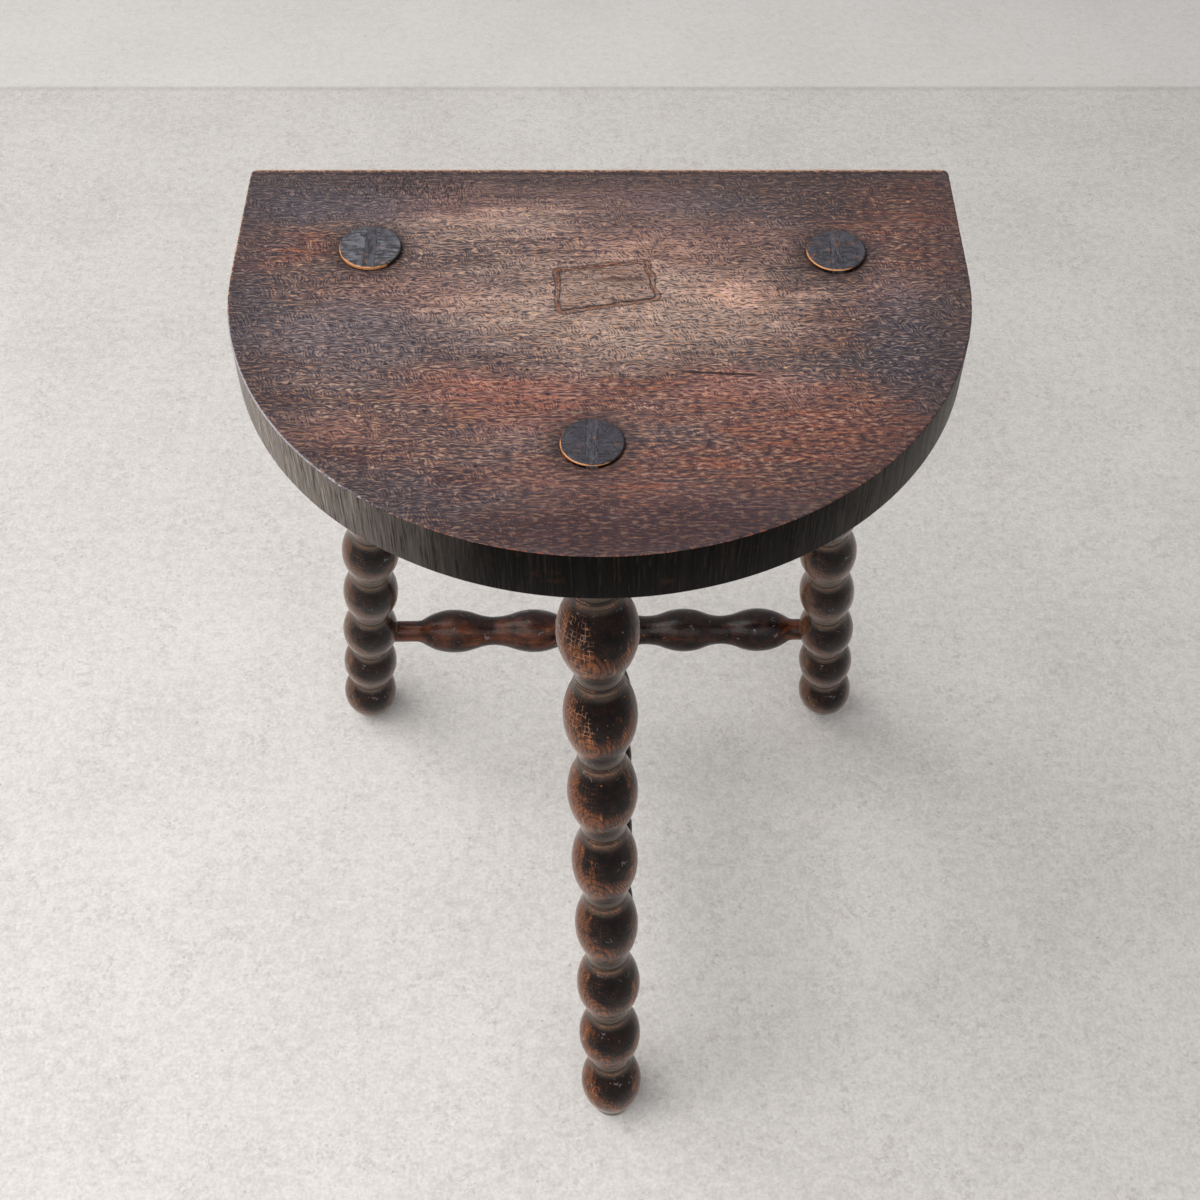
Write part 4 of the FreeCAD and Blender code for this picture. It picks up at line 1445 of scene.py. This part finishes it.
@dataclass
class TurnedLeg:
    """One leg: its turning, its rounded foot, its stud on the seat top and its wedge."""

    place: LegPlace
    stud: Vector
    foot: Vector
    pith: tuple[float, float]
    stud_base: Colour
    stud_height: float
    crackle_from: float
    is_dull: bool
    foot_rounding: tuple[tuple[float, float], ...] = ((0.9, 0.955), (0.5, 0.95), (0.25, 0.94))
    stud_rounding: tuple[tuple[float, float], ...] = ((0.22, 0.99), (0.14, 0.975), (0.06, 0.96))
    spread: tuple[tuple[float, float], ...] = ((0.3, 1.045), (0.9, 1.005))
    wedge_top: float = 4.2 * MM
    wedge_tip: float = 1.4 * MM
    wedge_depth: float = 20.0 * MM
    wedge_breadth: float = 60.0 * MM
    wedge_gap: float = 0.1 * MM
    wedge_base: Colour = stain(80, 78, 86)
    wedge_along: tuple[float, float] = (0.95, 0.16)
    # The rubbed side is worn amber and also painted lighter on the left as painted light; the stained side is
    # painted darker at the front as painted shade
    rubbed_and_lit_side: Triple = (-0.95, -0.25, 0.0)
    stained_and_shaded_side: Triple = (0.02, -1.0, 0.05)
    bare_side: Triple = (-0.66, -0.75, 0.0)

    @property
    def axis(self) -> Vector:
        """The leg's direction, from foot to stud."""
        return (self.stud - self.foot).normalized()

    @property
    def node(self) -> str:
        """The name of the leg's solid."""
        return f"leg_{self.place.value}"

    def trim(
        self, leg: bpy.types.Object, height: float, side: float, rounding: Sequence[tuple[float, float]]
    ) -> None:
        """Saw one end level, and round its edge by drawing the cut face out in small steps.

        Args:
            leg: The leg.
            height: Where the finished end lies.
            side: 1 for the upper end and -1 for the foot.
            rounding: The rise of each step in millimetres, and how much narrower it gets.
        """
        drop = sum(rise for rise, _ in rounding) * MM
        with edit_mode(leg, whole=True):
            bpy.ops.mesh.bisect(
                plane_co=(0.0, 0.0, height - side * drop), plane_no=(0.0, 0.0, side),
                use_fill=True, clear_outer=True,
            )
            for rise, ratio in rounding:
                draw_out(0.0, 0.0, side * rise * MM)
                bpy.ops.transform.resize(value=(ratio, ratio, 1.0))

    def wedge_block(self, gap: float) -> bpy.types.Object:
        """The tapered block of the wedge, or of the slot that it is driven into.

        Args:
            gap: How much wider the block is on each side.

        Returns:
            The block, standing along the leg.
        """
        top = self.stud + self.axis * (self.stud_height / self.axis.z)
        length = self.wedge_depth + 10.0 * MM
        block = fresh(bpy.ops.mesh.primitive_cube_add, size=1.0)
        tip = self.wedge_tip + 2 * gap
        slope = (self.wedge_top - self.wedge_tip) / self.wedge_depth
        block.scale = (tip, self.wedge_breadth, length)
        block.location = (0.0, 0.0, length / 2 - self.wedge_depth)
        settle(block)
        pick(block, Pick.FACES, lambda face: face.normal.z > 0.5)
        with edit_mode(block):
            bpy.ops.transform.resize(value=((tip + slope * length) / tip, 1.0, 1.0))
        stand_on(block, top, self.axis, Vector((0.0, 1.0, 0.0)))
        return block

    def dress(self, leg: bpy.types.Object, wedge: bpy.types.Object, seat_top: float) -> None:
        """Give the turning, the stud's face, the stud's edge and the wedge their own finishes."""
        turned = dict(
            name=f"{self.node}_stain", pith=self.pith, crackle_from=self.crackle_from,
            rubbed_and_lit_side=self.rubbed_and_lit_side, stained_and_shaded_side=self.stained_and_shaded_side,
        )
        if self.is_dull:
            turned.update(
                softness=1.0, bloom=0.24, pore_share=0.35, amber=stain(100, 65, 42), flame=stain(158, 100, 62)
            )
        side = self.place.value
        edge = StudEdgeFinish("stud_edge_worn", self.bare_side)
        grain = EndGrainFinish(f"stud_{side}_end_grain", self.stud_base)
        for finish in (TurnedWoodFinish(**turned), grain, edge):
            leg.data.materials.append(finish.make())
        for face in leg.data.polygons:
            is_level = abs(face.normal.z) > LEVEL_FACE
            if face.center.z > seat_top - MM:
                face.material_index = 1 if is_level else 2
            else:
                face.material_index = 1 if face.center.z < 0.1 * MM and is_level else 0
        wedge.data.materials.clear()
        for finish in (EndGrainFinish(f"wedge_{side}_grain", self.wedge_base, along=self.wedge_along), edge):
            wedge.data.materials.append(finish.make())
        for face in wedge.data.polygons:
            is_level = abs(face.normal.z) >= LEVEL_FACE
            at_rim = face.center.z > seat_top and not is_level and abs(face.normal.y) > 0.3
            face.material_index = 1 if at_rim else 0

    def build(self, blank: bpy.types.Object, seat_top: float) -> None:
        """Make the finished leg and its wedge from the turned blank.

        Args:
            blank: The turned blank, standing on the origin.
            seat_top: The height of the seat top.
        """
        leg = copy_of(blank, f"{self.node}_turned")
        stand_on(leg, self.foot, self.axis, Vector((0.0, 1.0, 0.0)))
        wear_down(leg, 14.0 * MM, 0.35 * MM)
        wear_down(leg, 3.5 * MM, 0.12 * MM)
        self.trim(leg, 0.0, -1.0, self.foot_rounding)
        spread = self.spread if self.place is LegPlace.LEFT else ()
        self.trim(leg, seat_top + self.stud_height, 1.0, spread + self.stud_rounding)
        wedge = self.wedge_block(0.0)
        wedge.name = f"wedge_{self.place.value}_driven"
        carve(wedge, leg, Cut.KEEP_SHARED, keep_cutter=True)
        carve(leg, self.wedge_block(self.wedge_gap), Cut.AWAY)
        smooth(leg)
        smooth(wedge)
        self.dress(leg, wedge, seat_top)
        hand_over(leg, self.node)
        hand_over(wedge, f"wedge_{self.place.value}")


@dataclass
class Stretcher:
    """A turned stretcher between two joint points, with a peg run into each piece it joins."""

    node: str
    start: Vector
    end: Vector
    crown_shares: tuple[float, ...]
    end_shares: tuple[float, float]
    start_peg: float
    end_peg: float
    wax: float = 1.0
    bobbin_dia: float = 25.0 * MM
    waist_dia: float = 16.5 * MM
    peg_dia: float = 12.2 * MM
    cove_share: float = 0.45
    end_cove_share: float = 0.15
    pith: tuple[float, float] = (2.0, 9.0)

    def finish(self, length: float) -> TurnedWoodFinish:
        """The stretcher's finish: a redder stain than the legs', glossier, with no dust in its necks."""
        return TurnedWoodFinish(
            name=f"{self.node}_stain", pith=self.pith, length=length, lean=4.0, softness=0.5,
            # Lighter toward the top and front as painted light, partly wear, and darker underneath as painted
            # shade
            rubbed_and_lit_side=(-0.35, -0.75, 0.5), stained_and_shaded_side=(0.0, -0.45, -0.9),
            low_share=0.0, side_share=0.5, dark_share=1.0, dust_share=0.0, pore_share=0.3,
            gloss=0.14 * self.wax, coat=0.6 * self.wax, bloom=0.1 * self.wax,
            black=stain(14, 8, 7), umber=stain(46, 26, 20),
            amber=stain(112, 61, 38), flame=stain(172, 98, 56),
        )

    def build(self) -> None:
        """Make the finished stretcher."""
        peg = self.peg_dia / 2
        length = (self.end - self.start).length
        first, last = (share * length for share in self.end_shares)
        piece = TurnedBlank(
            name=f"{self.node}_turned",
            crowns=[Ring(share * length, self.bobbin_dia / 2) for share in self.crown_shares],
            start=Ring(first, peg),
            end=Ring(last, peg),
            neck_radius=self.waist_dia / 2,
            neck_flat=0.0,
            cove_share=self.cove_share,
            end_cove_share=self.end_cove_share,
            run_in=-self.start_peg,
            run_out=length - self.end_peg - last,
            run_out_radius=peg,
            sides=56,
            steps=9,
        ).turn()
        stand_on(piece, self.start, (self.end - self.start).normalized(), Vector((0.0, 0.0, 1.0)))
        wear_down(piece, 12.0 * MM, 0.3 * MM)
        wear_down(piece, 3.5 * MM, 0.1 * MM)
        smooth(piece, 50.0)
        piece.data.materials.append(self.finish(length).make())
        hand_over(piece, self.node)


@dataclass(frozen=True)
class SoftBox:
    """One large soft lamp aimed at a point."""

    name: str
    place: Triple
    width: float
    height: float
    power: float
    tint: Triple = (1.0, 1.0, 1.0)
    aim: Triple = (0.0, 0.0, 0.2)

    def hang(self) -> None:
        """Hang the lamp."""
        data = bpy.data.lights.new(self.name, "AREA")
        data.shape = "RECTANGLE"
        data.size = self.width
        data.size_y = self.height
        data.energy = self.power
        data.color = self.tint
        lamp = bpy.data.objects.new(self.name, data)
        bpy.context.scene.collection.objects.link(lamp)
        lamp.location = self.place
        lamp.rotation_euler = (Vector(self.aim) - Vector(self.place)).to_track_quat("-Z", "Y").to_euler()


@dataclass
class Studio:
    """Floor, soft light and the camera at the photograph's place."""

    seat: SeatBoard
    camera_from_round: tuple[float, float] = (0.148 * MM, -512.43 * MM)
    camera_height: float = 916.13 * MM
    camera_pitch: float = 51.1202
    lens: float = 52.505
    sensor: float = 36.0
    floor_size: float = 9.0
    joint_line: float = 0.798
    world_tint: Colour = (0.98, 0.98, 1.0, 1.0)
    world_level: float = 0.285
    backdrop_level: float = 0.62
    lamps: tuple[SoftBox, ...] = (
        SoftBox("window_left", (-1.0, 0.09, 1.81), 1.3, 1.3, 18.9, (1.0, 0.99, 0.98)),
        SoftBox("room_left", (-1.1, -1.1, 1.76), 2.0, 1.6, 24.6),
        SoftBox("room_front", (0.44, -1.63, 1.61), 2.0, 1.6, 9.9),
    )

    def lay_floor(self) -> None:
        """Lay the pale floor that the stool stands on."""
        floor = fresh(bpy.ops.mesh.primitive_plane_add, size=self.floor_size)
        floor.name = "floor"
        floor.data.materials.append(FloorFinish("floor_pale_plaster", self.joint_line).make())

    def light(self) -> None:
        """Hang the lamps and set the even light of the room, which is paler where it is looked at."""
        world = bpy.data.worlds.new("room")
        bpy.context.scene.world = world
        world.use_nodes = True
        tree = world.node_tree
        back = tree.nodes["Background"]
        back.inputs["Color"].default_value = self.world_tint
        ray = tree.nodes.new("ShaderNodeLightPath")
        seen: Socket = ray.outputs["Is Camera Ray"]
        for kind in ("Is Glossy Ray", "Is Transmission Ray"):
            either = tree.nodes.new("ShaderNodeMath")
            either.operation = "MAXIMUM"
            tree.links.new(seen, either.inputs[0])
            tree.links.new(ray.outputs[kind], either.inputs[1])
            seen = either.outputs[0]
        level = tree.nodes.new("ShaderNodeMapRange")
        tree.links.new(seen, level.inputs["Value"])
        level.inputs["To Min"].default_value = self.world_level
        level.inputs["To Max"].default_value = self.backdrop_level
        tree.links.new(level.outputs["Result"], back.inputs["Strength"])
        for lamp in self.lamps:
            lamp.hang()

    def set_camera(self) -> None:
        """Set the camera where the photograph was taken from."""
        scene = bpy.context.scene
        data = bpy.data.cameras.new("camera")
        data.sensor_width = self.sensor
        data.lens = self.lens
        camera = bpy.data.objects.new("camera", data)
        scene.collection.objects.link(camera)
        across, back = self.camera_from_round
        camera.location = (self.seat.middle.x + across, self.seat.middle.y + back, self.camera_height)
        camera.rotation_euler = (math.radians(90.0 - self.camera_pitch), 0.0, 0.0)
        scene.camera = camera
        scene.view_settings.view_transform = "Standard"

    def build(self) -> None:
        """Lay, light and look."""
        self.lay_floor()
        self.light()
        self.set_camera()


@dataclass
class Stool:
    """The whole stool: where each leg and stretcher stands, from the seat's own edges."""

    left_stud_inset: tuple[float, float] = (52.0 * MM, 49.7 * MM)
    right_stud_inset: tuple[float, float] = (49.4 * MM, 51.6 * MM)
    front_stud_inset: tuple[float, float] = (-2.6 * MM, 51.1 * MM)
    left_foot_reach: tuple[float, float] = (-59.1 * MM, 127.9 * MM)
    right_foot_reach: tuple[float, float] = (53.4 * MM, 130.7 * MM)
    front_foot_reach: tuple[float, float] = (9.2 * MM, -35.2 * MM)
    back_stud_height: float = 1.8 * MM
    front_stud_height: float = 1.0 * MM
    back_crackle_from: float = 300.0 * MM
    front_crackle_from: float = 290.0 * MM
    joint_bead: int = 2
    joint_drops: tuple[float, float, float] = (5.3 * MM, 2.3 * MM, 3.0 * MM)
    leg_mortise: float = 18.0 * MM
    bobbin_mortise: float = 14.0 * MM
    cross_shares: tuple[float, ...] = (0.185, 0.360, 0.524, 0.688, 0.850)
    cross_ends: tuple[float, float] = (0.104, 0.926)
    cross_middle: int = 2
    middle_shares: tuple[float, ...] = (0.193, 0.391, 0.597, 0.788)
    middle_ends: tuple[float, float] = (0.097, 0.880)
    middle_wax: float = 0.3
    seat: SeatBoard = field(default_factory=SeatBoard)
    turning: LegTurning = field(default_factory=LegTurning)

    def legs(self) -> list[TurnedLeg]:
        """The three legs, each from its stud's place on the seat top."""
        seat = self.seat
        places = (
            (seat.low.x + self.left_stud_inset[0], seat.high.y - self.left_stud_inset[1]),
            (seat.high.x - self.right_stud_inset[0], seat.high.y - self.right_stud_inset[1]),
            (seat.middle.x + self.front_stud_inset[0], seat.low.y + self.front_stud_inset[1]),
        )
        reaches = (self.left_foot_reach, self.right_foot_reach, self.front_foot_reach)
        back = (self.back_stud_height, self.back_crackle_from)
        front = (self.front_stud_height, self.front_crackle_from)
        looks = (
            (LegPlace.LEFT, (-2.0, -11.0), stain(110, 109, 116), *back, True),
            (LegPlace.RIGHT, (3.0, -12.0), stain(74, 72, 80), *back, True),
            (LegPlace.FRONT, (0.5, -12.5), stain(64, 62, 70), *front, False),
        )
        legs = []
        for (x, y), (across, along), (place, *look) in zip(places, reaches, looks):
            stud = Vector((x, y, seat.high.z))
            foot = Vector((stud.x + across, stud.y + along, 0.0))
            legs.append(TurnedLeg(place, stud, foot, *look))
        return legs

    def build(self) -> None:
        """Make the seat, the legs and the stretchers, in that order."""
        legs = self.legs()
        seat = self.seat.build(legs)
        LOG.info("%s is done", seat.name)
        run = min(self.seat.low.z / leg.axis.z for leg in legs)
        blank = self.turning.blank(run).turn()
        for leg in legs:
            leg.build(blank, self.seat.high.z)
        bpy.data.objects.remove(blank, do_unlink=True)

        share = self.turning.centre_shares[self.joint_bead]
        left, right, front = (
            leg.foot + leg.axis * (share * run - drop) for leg, drop in zip(legs, self.joint_drops)
        )
        into_leg = self.turning.bead_radius(self.joint_bead) - self.leg_mortise
        into_bobbin = Stretcher.bobbin_dia / 2 - self.bobbin_mortise
        Stretcher(
            "cross_stretcher", left, right, self.cross_shares, self.cross_ends, into_leg, into_leg
        ).build()
        meeting = left.lerp(right, self.cross_shares[self.cross_middle])
        Stretcher(
            "middle_stretcher", meeting, front, self.middle_shares, self.middle_ends, into_bobbin, into_leg,
            self.middle_wax,
        ).build()


def main() -> None:
    """Build the stool and its studio."""
    logging.basicConfig(level=logging.INFO, format="%(name)s: %(message)s")
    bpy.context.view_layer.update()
    stool = Stool()
    stool.build()
    Studio(stool.seat).build()


if __name__ == "__main__":
    main()
